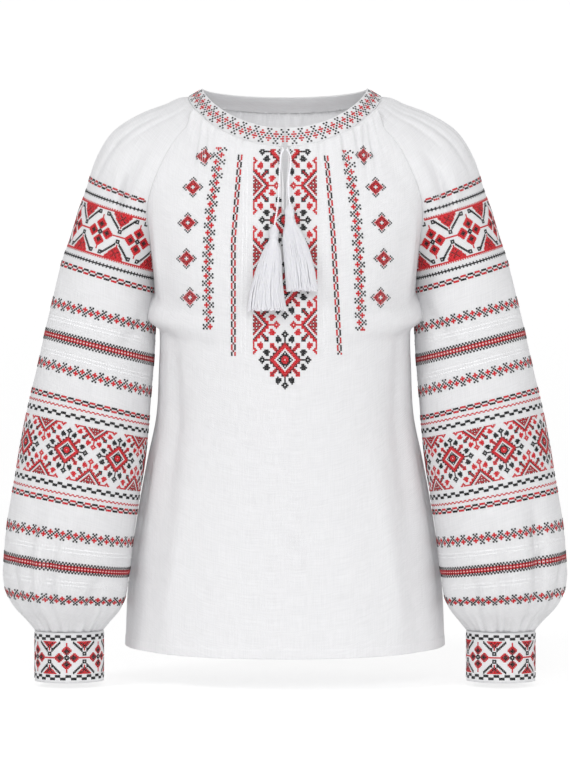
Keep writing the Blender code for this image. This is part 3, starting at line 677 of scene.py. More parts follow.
def new_tree(name, numbers):
    """Geometry Nodes tree with a geometry input, a material input and named number inputs."""
    tree = bpy.data.node_groups.new(name, "GeometryNodeTree")
    tree.is_modifier = True
    tree.interface.new_socket("Geometry", in_out="INPUT", socket_type="NodeSocketGeometry")
    for number in numbers:
        kind = "NodeSocketInt" if number == "Sides" else "NodeSocketFloat"
        tree.interface.new_socket(number, in_out="INPUT", socket_type=kind)
    tree.interface.new_socket("Thread", in_out="INPUT", socket_type="NodeSocketMaterial")
    tree.interface.new_socket("Geometry", in_out="OUTPUT", socket_type="NodeSocketGeometry")
    return tree


def finish_tree(tree, source, shape):
    smooth = add_node(tree, "GeometryNodeSetShadeSmooth", {"Geometry": shape})
    coloured = add_node(tree, "GeometryNodeSetMaterial",
                        {"Geometry": smooth.outputs[0], "Material": source.outputs["Thread"]})
    add_node(tree, "NodeGroupOutput", {0: coloured.outputs[0]})


# A cross-stitch's own sizes, as shares of its cell.
STRAND_HALF_WIDTH = 0.31
STRAND_LENGTH = 0.88
CROSSING_LIFT = 0.06        # the second strand lies over the first


def make_stitch_tree():
    """A cross-stitch at each point: two crossed strands, each a low ridge of thread."""
    tree = new_tree("cross_stitch", ["Strand half width", "Strand length"])
    source = add_node(tree, "NodeGroupInput")
    half = add_node(tree, "ShaderNodeMath", {0: source.outputs["Strand length"], 1: 0.5},
                    operation="MULTIPLY").outputs[0]
    less = add_node(tree, "ShaderNodeMath", {0: half, 1: -1.0}, operation="MULTIPLY").outputs[0]
    start = add_node(tree, "ShaderNodeCombineXYZ", {0: less, 1: less})
    end = add_node(tree, "ShaderNodeCombineXYZ", {0: half, 1: half})
    strand = add_node(tree, "GeometryNodeCurvePrimitiveLine",
                      {"Start": start.outputs[0], "End": end.outputs[0]})
    section = add_node(tree, "GeometryNodeCurveArc",
                       {"Resolution": 3, "Radius": source.outputs["Strand half width"],
                        "Start Angle": math.pi, "Sweep Angle": math.pi})
    ridge = add_node(tree, "GeometryNodeCurveToMesh",
                     {"Curve": strand.outputs[0], "Profile Curve": section.outputs[0]})
    crossing = add_node(tree, "GeometryNodeTransform",
                        {"Geometry": ridge.outputs[0], "Translation": (0.0, 0.0, CROSSING_LIFT),
                         "Rotation": (0.0, 0.0, math.pi / 2)})
    stitch = add_node(tree, "GeometryNodeJoinGeometry", {0: crossing.outputs[0]})
    tree.links.new(ridge.outputs[0], stitch.inputs[0])
    facing, along, size = (
        add_node(tree, "GeometryNodeInputNamedAttribute", {"Name": name},
                 data_type="FLOAT_VECTOR") for name in ("facing", "along", "size"))
    turned = add_node(tree, "FunctionNodeAxesToRotation",
                      {"Primary Axis": facing.outputs[0], "Secondary Axis": along.outputs[0]},
                      primary_axis="Z", secondary_axis="X")
    placed = add_node(tree, "GeometryNodeInstanceOnPoints",
                      {"Points": source.outputs["Geometry"], "Instance": stitch.outputs[0],
                       "Rotation": turned.outputs[0], "Scale": size.outputs[0]})
    real = add_node(tree, "GeometryNodeRealizeInstances", {0: placed.outputs[0]})
    finish_tree(tree, source, real.outputs[0])
    return tree


def make_thread_tree():
    """A round thread along each line of the geometry that comes in."""
    tree = new_tree("thread_along_lines", ["Thread radius", "Sides"])
    source = add_node(tree, "NodeGroupInput")
    lines = add_node(tree, "GeometryNodeMeshToCurve", {"Mesh": source.outputs["Geometry"]})
    section = add_node(tree, "GeometryNodeCurvePrimitiveCircle",
                       {"Resolution": source.outputs["Sides"],
                        "Radius": source.outputs["Thread radius"]})
    tube = add_node(tree, "GeometryNodeCurveToMesh",
                    {"Curve": lines.outputs[0], "Profile Curve": section.outputs[0],
                     "Fill Caps": True})
    real = add_node(tree, "GeometryNodeRealizeInstances", {0: tube.outputs[0]})
    finish_tree(tree, source, real.outputs[0])
    return tree


stitch_tree = make_stitch_tree()
thread_tree = make_thread_tree()


def apply_tree(name, mesh, tree, inputs):
    """Run a tree on a mesh once and return the result as a piece with a plain mesh."""
    maker = new_object(name + "_maker", mesh)
    nodes = maker.modifiers.new("nodes", "NODES")
    nodes.node_group = tree
    for item in tree.interface.items_tree:
        if item.in_out == "INPUT" and item.name in inputs:
            nodes[item.identifier] = inputs[item.name]
    seen = maker.evaluated_get(bpy.context.evaluated_depsgraph_get())
    result = bpy.data.meshes.new_from_object(seen)
    result.name = name
    bpy.data.objects.remove(maker)
    bpy.data.meshes.remove(mesh)
    return new_object(name, result)


def thread_piece(name, lines, radius, sides, material):
    """One piece of round threads along lines of points in mm."""
    points = np.concatenate(lines) * MM
    edges = []
    first = 0
    for line in lines:
        edges += [(first + step, first + step + 1) for step in range(len(line) - 1)]
        first += len(line)
    mesh = bpy.data.meshes.new(name + "_lines")
    mesh.from_pydata(points.tolist(), edges, [])
    piece = apply_tree(name, mesh, thread_tree,
                       {"Thread radius": radius * MM, "Sides": sides, "Thread": material})
    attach(piece, "root")
    return piece


# ---------------------------------------------------------------- tie cords and tassels
ROUTE_STEPS = 24            # between two points of a route, before it is spaced evenly


def smooth_route(points, spacing):
    """Points at an even spacing on a smooth curve through a route's own points."""
    points = np.array(points)
    padded = np.vstack([2 * points[0] - points[1], points, 2 * points[-1] - points[-2]])
    fine = []
    for index in range(1, len(padded) - 2):
        p0, p1, p2, p3 = padded[index - 1:index + 3]
        for share in np.linspace(0, 1, ROUTE_STEPS, endpoint=False):
            fine.append(0.5 * (2 * p1 + (p2 - p0) * share
                               + (2 * p0 - 5 * p1 + 4 * p2 - p3) * share**2
                               + (3 * p1 - p0 - 3 * p2 + p3) * share**3))
    fine.append(points[-1])
    fine = np.array(fine)
    lengths = path_lengths(fine)
    count = max(2, int(round(lengths[-1] / spacing)))
    stations = np.linspace(0, lengths[-1], count + 1)
    return np.column_stack([np.interp(stations, lengths, fine[:, axis]) for axis in range(3)])


def cloth_front(x, z):
    """y of the front panel, without its folds, at an x and a z."""
    return float(body_surface(*front_place(x, z), fine=False)[..., 1])


def tassel_middle(row):
    """y of the middle of a tassel's section, which hangs just in front of the cloth."""
    cloth = cloth_front(row.middle, row.z)
    return min(cloth - TASSEL_OFF_CLOTH - row.half_depth, cloth - TASSEL_AHEAD)


CORD_IN_TASSEL = 54.0       # reach inside the tassel, guessed; the cord ends at the last row in it
HEAD_LENGTH = 6.0           # rows of the tassel nearer than this to the cord's foot are left out
CORD_STEP = 0.65            # between the points of its middle line
PLY_PITCH = 5.2             # one turn of the cord's two plies
PLY_RADIUS = 0.55


def make_cord(side):
    """Two plies twisted into a cord, from the slit's top down to its knot in the tassel."""
    route = [(point.x, cloth_front(point.x, point.z) - point.ahead, point.z)
             for point in TIE_CORDS[side]]
    head = TIE_CORDS[side][-1].z
    route += [(row.middle, tassel_middle(row), row.z) for row in TASSELS[side]
              if head - CORD_IN_TASSEL < row.z < head - HEAD_LENGTH]
    middle = smooth_route(route, CORD_STEP)
    along = np.gradient(middle, axis=0)
    along /= np.linalg.norm(along, axis=1)[:, None]
    sideways = np.cross(along, (0.0, -1.0, 0.0))
    sideways /= np.linalg.norm(sideways, axis=1)[:, None]
    ahead = np.cross(sideways, along)
    lengths = path_lengths(middle)
    plies = []
    for start in (0.0, math.pi):
        angle = (start + 2 * np.pi * lengths / PLY_PITCH)[:, None]
        plies.append(middle + PLY_RADIUS * (np.cos(angle) * sideways + np.sin(angle) * ahead))
    piece = thread_piece("cord_" + side, plies, PLY_RADIUS, 6, cord_cotton)
    path = [tuple(point * MM) for point in np.concatenate([middle[:-3:4], middle[-1:]])]
    return piece, path, lengths[-1] * MM


STRANDS = 320               # in each tassel
STRAND_RADIUS = 0.7
STRAND_STEP = 8.0
GOLDEN_SHARE = 0.618        # of a turn from one strand to the next, so that they spread evenly
BOUND_ROWS = 4              # a tassel's strands only waver below its bound neck
WRAP_TURNS = 6
WRAP_RADIUS = 0.42
WRAP_TOP = 2.4              # above the middle of the neck
WRAP_DEPTH = 4.4


def make_tassel(side, seed):
    """Many straight strands from the head through the bound neck to the cut ends."""
    random = np.random.default_rng(seed)
    rows = TASSELS[side]
    table = np.array([[row.middle, tassel_middle(row), row.half_width, row.half_depth]
                      for row in rows])
    heights = np.array([row.z for row in rows])
    strands = []
    for strand in range(STRANDS):
        angle = 2 * math.pi * (strand + random.uniform(-0.4, 0.4)) * GOLDEN_SHARE
        reach = 0.97 if strand % 2 else random.uniform(0.5, 0.93)
        bottom = heights[-1] + random.uniform(-1.2, 3.4)
        stations = np.concatenate([heights[:-1], [bottom]])
        waver = random.uniform(-0.06, 0.06, len(stations))
        angle = angle + waver * (np.arange(len(stations)) > BOUND_ROWS)
        x, y, wide, deep = (np.interp(-stations, -heights, column) for column in table.T)
        strands.append(smooth_route(np.column_stack([
            x + (wide - STRAND_RADIUS) * reach * np.cos(angle),
            y + (deep - STRAND_RADIUS) * reach * np.sin(angle),
            stations,
        ]), STRAND_STEP))
    piece = thread_piece("tassel_strands_" + side, strands, STRAND_RADIUS, 5, tassel_cotton)
    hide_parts("tassel_" + side)
    neck = rows[3]
    turns = np.linspace(0, WRAP_TURNS * 2 * math.pi, WRAP_TURNS * 14)
    wrap = np.column_stack([
        neck.middle + (neck.half_width + 0.1) * np.cos(turns),
        tassel_middle(neck) + (neck.half_depth + 0.1) * np.sin(turns),
        neck.z + WRAP_TOP - WRAP_DEPTH * turns / turns[-1],
    ])
    binding = thread_piece("tassel_binding_" + side, [wrap], WRAP_RADIUS, 5, tassel_cotton)
    return piece, binding


for side, seed in (("left", 21), ("right", 22)):
    cord, path, length = make_cord(side)
    strands, binding = make_tassel(side, seed)
    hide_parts("tie_cord_" + side)


# ---------------------------------------------------------------- cloth
def cloth_mesh(name, points, widths, lengths, mirror):
    """Mesh of quads through a grid of points in mm, with a cloth map in metres of cloth."""
    rows, columns = points.shape[:2]
    corner = np.arange(rows * columns).reshape(rows, columns)
    quads = np.stack([corner[:-1, :-1], corner[1:, :-1], corner[1:, 1:], corner[:-1, 1:]], axis=-1)
    quads = quads.reshape(-1, 4)
    if mirror:
        quads = quads[:, ::-1]
    mesh = bpy.data.meshes.new(name)
    mesh.from_pydata((points.reshape(-1, 3) * MM).tolist(), [], quads.tolist())
    place = np.stack([widths, lengths], axis=-1).reshape(-1, 2) * MM
    layer = mesh.uv_layers.new(name="cloth")
    layer.data.foreach_set("uv", place[quads.reshape(-1)].reshape(-1))
    return mesh


def cloth_lengths(points):
    """Distances in mm across and down a grid of points, measured from its first column and row."""
    across = np.linalg.norm(np.diff(points, axis=1), axis=2)
    down = np.linalg.norm(np.diff(points, axis=0), axis=2)
    widths = np.concatenate([np.zeros((len(points), 1)), np.cumsum(across, axis=1)], axis=1)
    lengths = np.concatenate([np.zeros((1, points.shape[1])), np.cumsum(down, axis=0)], axis=0)
    return widths, lengths


def grid_area(points):
    """Area in square metres of a grid of points in mm."""
    one = points[1:, :-1] - points[:-1, :-1]
    two = points[:-1, 1:] - points[:-1, :-1]
    return float(np.linalg.norm(np.cross(one, two), axis=-1).sum()) * MM * MM


WELD = 0.00001              # metres


def finish_cloth(name, mesh, wall, material, nodes):
    """Weld the mesh, give it its wall and hide the model's nodes that it stands for."""
    shape = bmesh.new()
    shape.from_mesh(mesh)
    bmesh.ops.remove_doubles(shape, verts=shape.verts, dist=WELD)
    bmesh.ops.dissolve_degenerate(shape, edges=shape.edges, dist=WELD)
    shape.to_mesh(mesh)
    shape.free()
    mesh.shade_smooth()
    mesh.materials.append(material)
    piece = new_object(name, mesh)
    solidify = piece.modifiers.new("cloth wall", "SOLIDIFY")
    solidify.thickness = wall * MM
    solidify.offset = -1.0
    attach(piece, "root")
    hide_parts(*nodes)
    return piece


def make_piece(name, points, mirror, wall, material, node, down=1.0):
    """One piece of cloth through a grid of points, and its area in square metres."""
    widths, lengths = cloth_lengths(points)
    mesh = cloth_mesh(name, points, widths, down * lengths, mirror)
    return finish_cloth(name, mesh, wall, material, [node]), grid_area(points)


def run_grid(end, *stretches):
    """Runs down to an end in stretches, each from its own start in about its own step."""
    stops = [start for start, _ in stretches[1:]] + [end]
    parts = [np.linspace(start, stop, int(round((stop - start) / step)) + 1)[:-1]
             for (start, step), stop in zip(stretches, stops)]
    return np.concatenate(parts + [[end]])


TOP_RUN = 0.3               # the cloth starts this far below the neckband's foot
HEM_GRID_RUN = HEM_RUN - 11.5


def make_front():
    """The front panel as two halves, each with its edge along the slit's notch."""
    runs = run_grid(HEM_RUN, (TOP_RUN, 1.5), (70.0, 1.0), (92.0, 4.2), (HEM_GRID_RUN, 0.95))
    centre_z = body_surface(runs, 0.0, fine=False)[:, 2]
    notch = panel_notch(body_surface(0.0, 0.0, fine=False)[2] - centre_z)
    start = across_at(runs, notch)
    shares = np.linspace(0.0, 1.0, 78)
    across = start[:, None] + (1 - start[:, None]) * shares[None, :]
    joined = bmesh.new()
    area = 0.0
    for side in (-1, 1):
        points = body_surface(runs[:, None], side * across)
        widths, lengths = cloth_lengths(points)
        half = cloth_mesh("half", points, side * widths, -lengths, side < 0)
        joined.from_mesh(half)
        bpy.data.meshes.remove(half)
        area += grid_area(points)
    mesh = bpy.data.meshes.new("front_cloth")
    joined.to_mesh(mesh)
    joined.free()
    piece = finish_cloth("front_cloth", mesh, SHEET_WALL, linen, ["front_panel"])
    return piece, area


def make_back():
    runs = run_grid(HEM_RUN, (TOP_RUN, 1.8), (70.0, 4.6), (HEM_GRID_RUN, 1.2))
    across = np.linspace(-1.0, 1.0, 141)
    points = body_surface(runs[:, None], across[None, :], back=True)
    return make_piece("back_cloth", points, True, SHEET_WALL, linen, "back_panel")


def make_sleeve_cloth(name):
    runs = run_grid(SLEEVE_END_RUN - 0.4, (TOP_RUN, 2.4), (60.0, 4.4), (UNDERARM_RUN, 4.4),
                    (570.0, 1.9))
    turns = np.linspace(-1.0, 1.0, 167)
    points = sleeve_surface(runs[:, None], turns[None, :], name)
    return make_piece("sleeve_cloth_" + name, points, name == "right", SHEET_WALL, linen,
                      "sleeve_" + name, down=-1.0)


def make_neckband():
    """The band all round the neck, whose ends part towards the foot of the split."""
    heights = np.array([1.0, 0.985, 0.95, 0.85, 0.7, 0.5, 0.3, 0.15, 0.05, 0.0])
    split = (SEAM_GAP + NECKBAND_SPLIT * (1.4 - heights)) / BAND_TOP_HALF_WIDTH
    share = np.linspace(0.0, 1.0, 241)
    angle = split[:, None] + (2 * np.pi - 2 * split[:, None]) * share[None, :]
    points = band_surface(angle, np.broadcast_to(heights[:, None], angle.shape))
    return make_piece("neckband_cloth", points, False, BAND_WALL, linen_band,
                      "neckband")


def make_cuff(name):
    heights = np.linspace(CUFF_TOP_Z, CUFF_BOTTOM_Z, 15)
    angle = np.linspace(-np.pi, np.pi, 121)
    points = cuff_surface(name, angle[None, :], heights[:, None])
    return make_piece("cuff_cloth_" + name, points, name == "right", BAND_WALL, linen_band,
                      "cuff_" + name)


front_cloth, front_area = make_front()
back_cloth, back_area = make_back()
sleeve_cloth = {name: make_sleeve_cloth(name) for name in SLEEVE_SIDES}
neckband_cloth, neckband_area = make_neckband()
cuff_cloth = {name: make_cuff(name) for name in SLEEVE_SIDES}

# ---------------------------------------------------------------- slit bindings and hem
BINDING_LAP = 0.9           # how far a binding's faces stand out on either side of its edge
BINDING_WALL = 0.5
BINDING_FACES = ((1.0, -0.8), (0.8, -1.1), (0.4, -1.2), (0.1, -1.0), (0.0, 0.0),
                 (0.1, 0.8), (0.4, 0.9), (0.8, 0.9), (1.0, 0.9))


def make_binding(side, name):
    """Strip folded over one side of the slit, with a face outside, a fold and a face inside."""
    stop = SLIT_END - 5.0
    below = np.linspace(1.2, stop, 48)
    z = neck_foot(0.0)[2] - below
    inner = slit_opening(below) + 0.3
    outer = np.minimum(panel_notch(below) - SEAM_GAP * 0.4, inner + BINDING_WIDTH)
    y = front_surface(side * inner, z)[:, 1]
    rows = []
    for share, lift in BINDING_FACES:
        x = inner + (outer - inner) * share
        rows.append(np.stack([side * x, y + lift * BINDING_LAP, z], axis=-1))
    return make_piece(name, np.stack(rows, axis=1), side > 0, BINDING_WALL, linen_band,
                      "slit_" + name)


def running_stitches(points, stitch, gap):
    """Short lines along a line of points, one for each stitch."""
    lengths = path_lengths(points)
    lines = []
    for start in np.arange(gap, lengths[-1] - stitch, stitch + gap):
        stations = start + stitch * np.array([0.0, 0.2, 0.5, 0.8, 1.0])
        lines.append(np.column_stack([np.interp(stations, lengths, points[:, axis])
                                      for axis in range(3)]))
    return lines


# ---------------------------------------------------------------- embroidery charts
# One letter is one cross-stitch: r red, d dark red, k black, w white.  A dot is bare linen.
FLORAL = [
    ".rrr.k.",
    "..r.k.k",
    "...k...",
    "k.k.r..",
    ".k.rrr.",
    "k.k.r..",
    "...k...",
    "..r.k.k",
]
CHAIN = ["kkk.rrr.", "...d...d", "rrr.kkk."]
BEADS = [".k.", "kkk", ".k."]
LADDER = ["k.", ".k", "rd", ".r", "rd", ".k", "k."]
ZIGZAG = ["rr..", "..rr"]
MEANDER = ["kkkk....", "kkkk....", "....kkkk", "....kkkk"]


def turned(chart):
    """The same chart with its rows as columns."""
    return ["".join(row[column] for row in chart) for column in range(len(chart[0]))]


def charted(stitch_at, columns, rows):
    """Chart of a motif whose stitches follow a rule, over ranges of columns and rows."""
    return ["".join(stitch_at(x, y) for x in columns) for y in rows]


def small_diamond(x, y):
    far, near = max(abs(x), abs(y)), min(abs(x), abs(y))
    ring = far + near
    if ring == 7:
        return "k" if near <= 2 else "."
    if ring <= 1 or ring > 5:
        return "."
    return "d" if far == near or ring == 4 else "r"


# Letters of the star diamond's parts in its two colourings.
STAR_COLOURS = {"core": "r", "core_edge": "k", "dot": "d", "inner": "r", "frame": "d",
                "outer": "k", "ear": "r", "ear_core": "d", "star": "k"}
BRIGHT_COLOURS = {"core": "d", "core_edge": "r", "dot": "r", "inner": "k", "frame": "r",
                  "outer": "r", "ear": "k", "ear_core": "r", "star": "r"}


def star_part(x, y):
    """Part of the star diamond that a stitch belongs to, or an empty string."""
    far, near = max(abs(x), abs(y)), min(abs(x), abs(y))
    ring = far + near
    if near >= 6 and far <= 10 and (far - near <= 1 or near >= 8):
        return "ear_core" if far == near and far < 10 else "ear"
    if (far, near) in ((1, 0), (1, 1), (2, 0), (2, 1)):
        return "core"
    if (far, near) in ((3, 0), (3, 1), (2, 2), (3, 2), (4, 1), (5, 0)):
        return "core_edge"
    if (far, near) == (4, 4):
        return "dot"
    if 8 <= ring <= 10:
        return "inner"
    if ring == 11:
        return "frame"
    if ring == 12 and far % 2 == 0:
        return "outer"
    if near == 0 and far == 13:
        return "outer"
    if max(abs(far - 16), near) == 1 or (far, near) in ((14, 0), (18, 0), (16, 2)):
        return "star"
    if max(abs(far - 13), abs(near - 5)) <= 1 or (abs(far - 13) == 2 and near == 5):
        return "star"
    if (far, near) in ((12, 3), (13, 3)):
        return "star"
    return ""


def bright_stitch(x, y):
    """Stitch of the star diamond in its bright colouring, with a checked middle."""
    ring = abs(x) + abs(y)
    if ring <= 6:
        if x % 2 == 0 and y % 2 == 0 and ring in (2, 4):
            return "."
        return "d" if (x + y) % 2 else "r"
    if ring in (7, 8):
        return "."
    if ring == 9:
        return "k"
    part = star_part(x, y)
    if ring in (10, 11, 12) and part in ("inner", "frame", "outer"):
        return "r"
    return BRIGHT_COLOURS[part] if part else "."


STAR_HALF = 22              # half a repeat of the star diamonds, in stitches


def star_field(x, y):
    """Star diamonds side by side, with bright ones half a repeat away both ways."""
    near_x = (x + STAR_HALF) % (2 * STAR_HALF) - STAR_HALF
    near_y = (y + STAR_HALF) % (2 * STAR_HALF) - STAR_HALF
    part = star_part(near_x, near_y)
    if part:
        return STAR_COLOURS[part]
    return bright_stitch(x % (2 * STAR_HALF) - STAR_HALF, y % (2 * STAR_HALF) - STAR_HALF)


# Places in the rose motif, in stitches from its middle.  Foot and edge are 0 where it has none.
Rose = namedtuple("Rose", "half middle radius node line_end foot tulip_top tulip_end edge tall")
SLEEVE_ROSE = Rose(16, 6, 5, 4, 10, 15, 7, 17, 18, 19)
CUFF_ROSE = Rose(13, 5, 4, 3, 8, 0, 6, 12, 0, 12)


def rose_stitch(rose, x, y):
    """Four roses round a black ring, a black lattice between, and red tulips in its angles."""
    far, near = max(abs(x), abs(y)), min(abs(x), abs(y))
    aside, level = rose.half - abs(x), abs(y)
    if far <= 1:
        return "k" if far == 1 else "."
    if far == 2 and near == 0:
        return "k"
    petal = abs(far - rose.middle) + near
    if petal <= rose.radius and far - near > 1:
        if petal <= 1:
            return "k"
        return "d" if petal == 2 else "r"
    if near == 0 and far <= rose.middle + rose.radius + 2:
        return "r"
    if level == 0 and aside <= 2:
        return "r"
    if max(aside, abs(level - rose.node)) == 1:
        return "k"
    if level - aside - rose.node in (0, 1) and 2 <= aside <= rose.line_end:
        return "k"
    if rose.foot and max(abs(aside - rose.line_end - 2), abs(level - rose.foot)) == 1:
        return "k"
    if rose.tulip_top <= level <= rose.tulip_end:
        depth = level - rose.tulip_top
        wide = max(0, min(depth - 1, depth * 2 // 3 + 1))
        if aside == abs(level - rose.tulip_end + 3) and aside <= 2:
            return "k"
        if aside <= wide:
            return "d" if aside == wide - 1 and depth % 2 else "r"
    if rose.edge and level == rose.edge:
        return "r"
    if rose.edge and level == rose.edge + 1:
        return "r" if x % 2 == 0 else "."
    return "."


SMALL_DIAMOND = charted(small_diamond, range(-7, 8), range(-7, 8))
STAR_BAND = charted(star_field, range(-STAR_HALF, STAR_HALF), range(-STAR_HALF, STAR_HALF + 1))
ROSE_BAND, CUFF_BAND = (
    charted(lambda x, y: rose_stitch(rose, x, y), range(-rose.half, rose.half),
            range(-rose.tall, rose.tall + 1)) for rose in (SLEEVE_ROSE, CUFF_ROSE))

# Bands round a sleeve, from the top down.  Cell is one cross-stitch in mm.  A band with an end
# run fills the sleeve between its two runs, and one with repeats has that many round the arm.
Band = namedtuple("Band", "chart run run_end cell repeats")
SLEEVE_BANDS = [
    Band(CHAIN, 122, None, 2.0, 0),
    Band(BEADS, 134, None, SLEEVE_CELL, 0),
    Band(ROSE_BAND, 142, 215, SLEEVE_CELL, 0),
    Band(BEADS, 225, None, SLEEVE_CELL, 0),
    Band(CHAIN, 241, None, 2.05, 0),
    Band(turned(FLORAL), 284, None, 1.83, 0),
    Band(LADDER, 319, None, 1.83, 0),
    Band(turned(FLORAL), 353, None, 1.83, 0),
    Band(CHAIN, 384, None, 2.05, 0),
    Band(ZIGZAG, 392, None, 1.3, 0),
    Band(MEANDER, 400, None, 1.4, 0),
    Band(STAR_BAND, 408, 469, SLEEVE_CELL, 7),
    Band(MEANDER, 476, None, 1.4, 0),
    Band(ZIGZAG, 485, None, 1.3, 0),
    Band(CHAIN, 493, None, 2.05, 0),
    Band(turned(FLORAL), 529, None, 1.83, 0),
    Band(LADDER, 564, None, 1.83, 0),
    Band(turned(FLORAL), 600, None, 1.83, 0),
]
DRAWN_THREAD_RUNS = [298, 302, 336, 340, 543, 547, 579, 583]
SEAM_MARGIN = 2.2           # no stitch comes nearer to a seam


# ---------------------------------------------------------------- working the stitches
class Stitching:
    """Cross-stitches of one panel, kept by thread until they are made into pieces."""

    def __init__(self, name, slot):
        self.name = name
        self.slot = slot
        self.kept = {letter: [] for letter in THREADS}

    def add(self, letters, places, alongs, facings, wide, high):
        letters = np.asarray(letters)
        for letter in THREADS:
            chosen = letters == letter
            if chosen.any():
                count = int(chosen.sum())
                size = np.column_stack([np.full(count, wide), np.full(count, high),
                                        np.full(count, 0.5 * min(wide, high))])
                self.kept[letter].append(
                    np.hstack([places[chosen], alongs[chosen], facings[chosen], size]))

    def make(self):
        """One piece for each thread, worked by the stitch tree."""
        pieces = []
        for letter, groups in self.kept.items():
            if not groups:
                continue
            colour, material = THREADS[letter]
            table = np.concatenate(groups)
            mesh = bpy.data.meshes.new("places")
            mesh.from_pydata((table[:, 0:3] * MM).tolist(), [], [])
            for name, start in (("along", 3), ("facing", 6), ("size", 9)):
                values = table[:, start:start + 3] * (MM if name == "size" else 1.0)
                layer = mesh.attributes.new(name, "FLOAT_VECTOR", "POINT")
                layer.data.foreach_set("vector", values.astype(np.float32).reshape(-1))
            piece = apply_tree(self.name + "_stitches_" + colour, mesh, stitch_tree,
                               {"Strand half width": STRAND_HALF_WIDTH,
                                "Strand length": STRAND_LENGTH, "Thread": material})
            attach(piece, "root")
            pieces.append(piece)
        return pieces


STITCH_LIFT = 0.12
NEAR_DOWN = 0.4             # mm to the neighbours that give a stitch its direction
NEAR_ALONG = 0.003          # the same in the measure of across, turn or angle


def work(stitching, surface, first, second, letters, wide, high, outwards):
    """Place stitches where a surface of two measures has them, along and square to it."""
    here = surface(first, second)
    down = surface(first + NEAR_DOWN, second) - surface(first - NEAR_DOWN, second)
    along = surface(first, second + NEAR_ALONG) - surface(first, second - NEAR_ALONG)
    along = along / np.linalg.norm(along, axis=-1, keepdims=True)
    facing = np.cross(down, along) * outwards
    facing = facing / np.linalg.norm(facing, axis=-1, keepdims=True)
    stitching.add(letters, here + facing * STITCH_LIFT, along, facing, wide, high)


def repeat_row(line, index):
    """Letters of a chart's row at each place of its repeat, and which are not bare linen."""
    letters = np.array([line[column % len(line)] for column in index])
    return letters, letters != "."


def work_sleeve(name):
    """All bands of one sleeve, fitted round it row by row."""
    side = SLEEVE_SIDES[name]
    stitching = Stitching("sleeve_" + name, "linen_sleeve")
    fine_runs = np.linspace(0, SLEEVE_END_RUN, 1300)
    down = path_lengths(sleeve_surface(fine_runs, 0.0, name, fine=False))
    fine_turns = np.linspace(-1, 1, 241)

    def surface(run, turn):
        return sleeve_surface(run, turn, name)

    bands = list(SLEEVE_BANDS)
    for run in DRAWN_THREAD_RUNS:
        bands.append(Band(["w."], run, None, DRAWN_THREAD_CELL, 0))
    for band in bands:
        rows, period = len(band.chart), len(band.chart[0])
        if band.run_end:
            top, bottom = np.interp([band.run, band.run_end], fine_runs, down)
            high = (bottom - top) / rows
        else:
            high = band.cell
            top = np.interp(band.run, fine_runs, down) - high * rows / 2
        middle = float(np.interp(top + high * rows / 2, down, fine_runs))
        closed = middle >= UNDERARM_RUN
        count = 0
        for row, line in enumerate(band.chart):
            run = float(np.interp(top + high * (row + 0.5), down, fine_runs))
            round_it = path_lengths(sleeve_surface(run, fine_turns, name, fine=False))
            round_it -= round_it[len(fine_turns) // 2]
            girth = round_it[-1] - round_it[0]
            if closed:
                if not count:
                    repeats = band.repeats or int(round(girth / (period * band.cell)))
                    count = repeats * period
                wide = girth / count
                index = np.arange(count) - count // 2
            else:
                wide = band.cell
                reach = int((girth / 2 - SEAM_MARGIN) / wide)
                index = np.arange(-reach, reach + 1)
            letters, shown = repeat_row(line, index)
            turn = np.interp(index[shown] * wide, round_it, fine_turns)
            work(stitching, surface, np.full(turn.shape, run), turn, letters[shown], wide, high,
                 side)
    return stitching.make()


def work_front():
    """The centre panel, its borders and the small diamonds."""
    stitching = Stitching("front", "linen_front")

    def place(x, z, letters, wide, high):
        x, z, letters = np.asarray(x, dtype=float), np.asarray(z, dtype=float), np.asarray(letters)
        below = float(neck_foot(0.0)[2]) - z
        notch = panel_notch(below)
        clear = (letters != ".") & ((notch < 0.1) | (np.abs(x) > notch + 0.5))
        x, z, letters = x[clear], z[clear], letters[clear]
        run, across = front_place(x, z)
        work(stitching, body_surface, run, across, letters, wide, high, 1)

    wide, high = PANEL_CELL
    last = 2 * 2 * STAR_HALF             # rows from the first whole diamond to the last one
    x_list, z_list, letters = [], [], []
    first_row = int((PANEL_DIAMOND_Z - PANEL_TOP_Z) / high)
    for row in range(first_row, last + STAR_HALF):
        for column in range(-STAR_HALF, STAR_HALF + 1):
            if row > last:
                part = star_part(column, row - last)
                letter = STAR_COLOURS[part] if part else "."
            else:
                letter = star_field(column, row)
            x_list.append(column * wide)
            z_list.append(PANEL_DIAMOND_Z - row * high)
            letters.append(letter)
    place(x_list, z_list, letters, wide, high)

    def place_path(points, chart, across, along):
        corners = np.array(points)
        lengths = path_lengths(corners)
        stations = np.arange(along / 2, lengths[-1], along)
        x_list, z_list, letters = [], [], []
        for step, station in enumerate(stations):
            middle_x = np.interp(station, lengths, corners[:, 0])
            middle_z = np.interp(station, lengths, corners[:, 1])
            line = chart[step % len(chart)]
            for column, letter in enumerate(line):
                x_list.append(middle_x + (column - (len(line) - 1) / 2) * across)
                z_list.append(middle_z)
                letters.append(letter)
        place(x_list, z_list, letters, across, along)

    for side in SLEEVE_SIDES:
        place_path(CHAIN_LINES[side], turned(CHAIN), *CHAIN_CELL)
        place_path(FLORAL_LINES[side], FLORAL, *FLORAL_CELL)
    for x, z in SMALL_DIAMONDS:
        half = 7 * SMALL_CELL + 0.7      # to the middle of its last stitch and a little more
        place_path([(x, z + half), (x, z - half)], SMALL_DIAMOND, SMALL_CELL, SMALL_CELL)
    for x in WHITE_LINE_TOPS:
        top, end = WHITE_LINE_ENDS
        place_path([(x, top), (x * WHITE_LINE_LEAN, end)], ["w", "."], *WHITE_LINE_CELL)
    return stitching.make()


BAND_FIRST = 9.9            # from the centre front to the first stitch of the repeat
BAND_CHART_ENDS = (0.88, 0.12)       # shares of the band's height
BAND_HEIGHT = 20.0


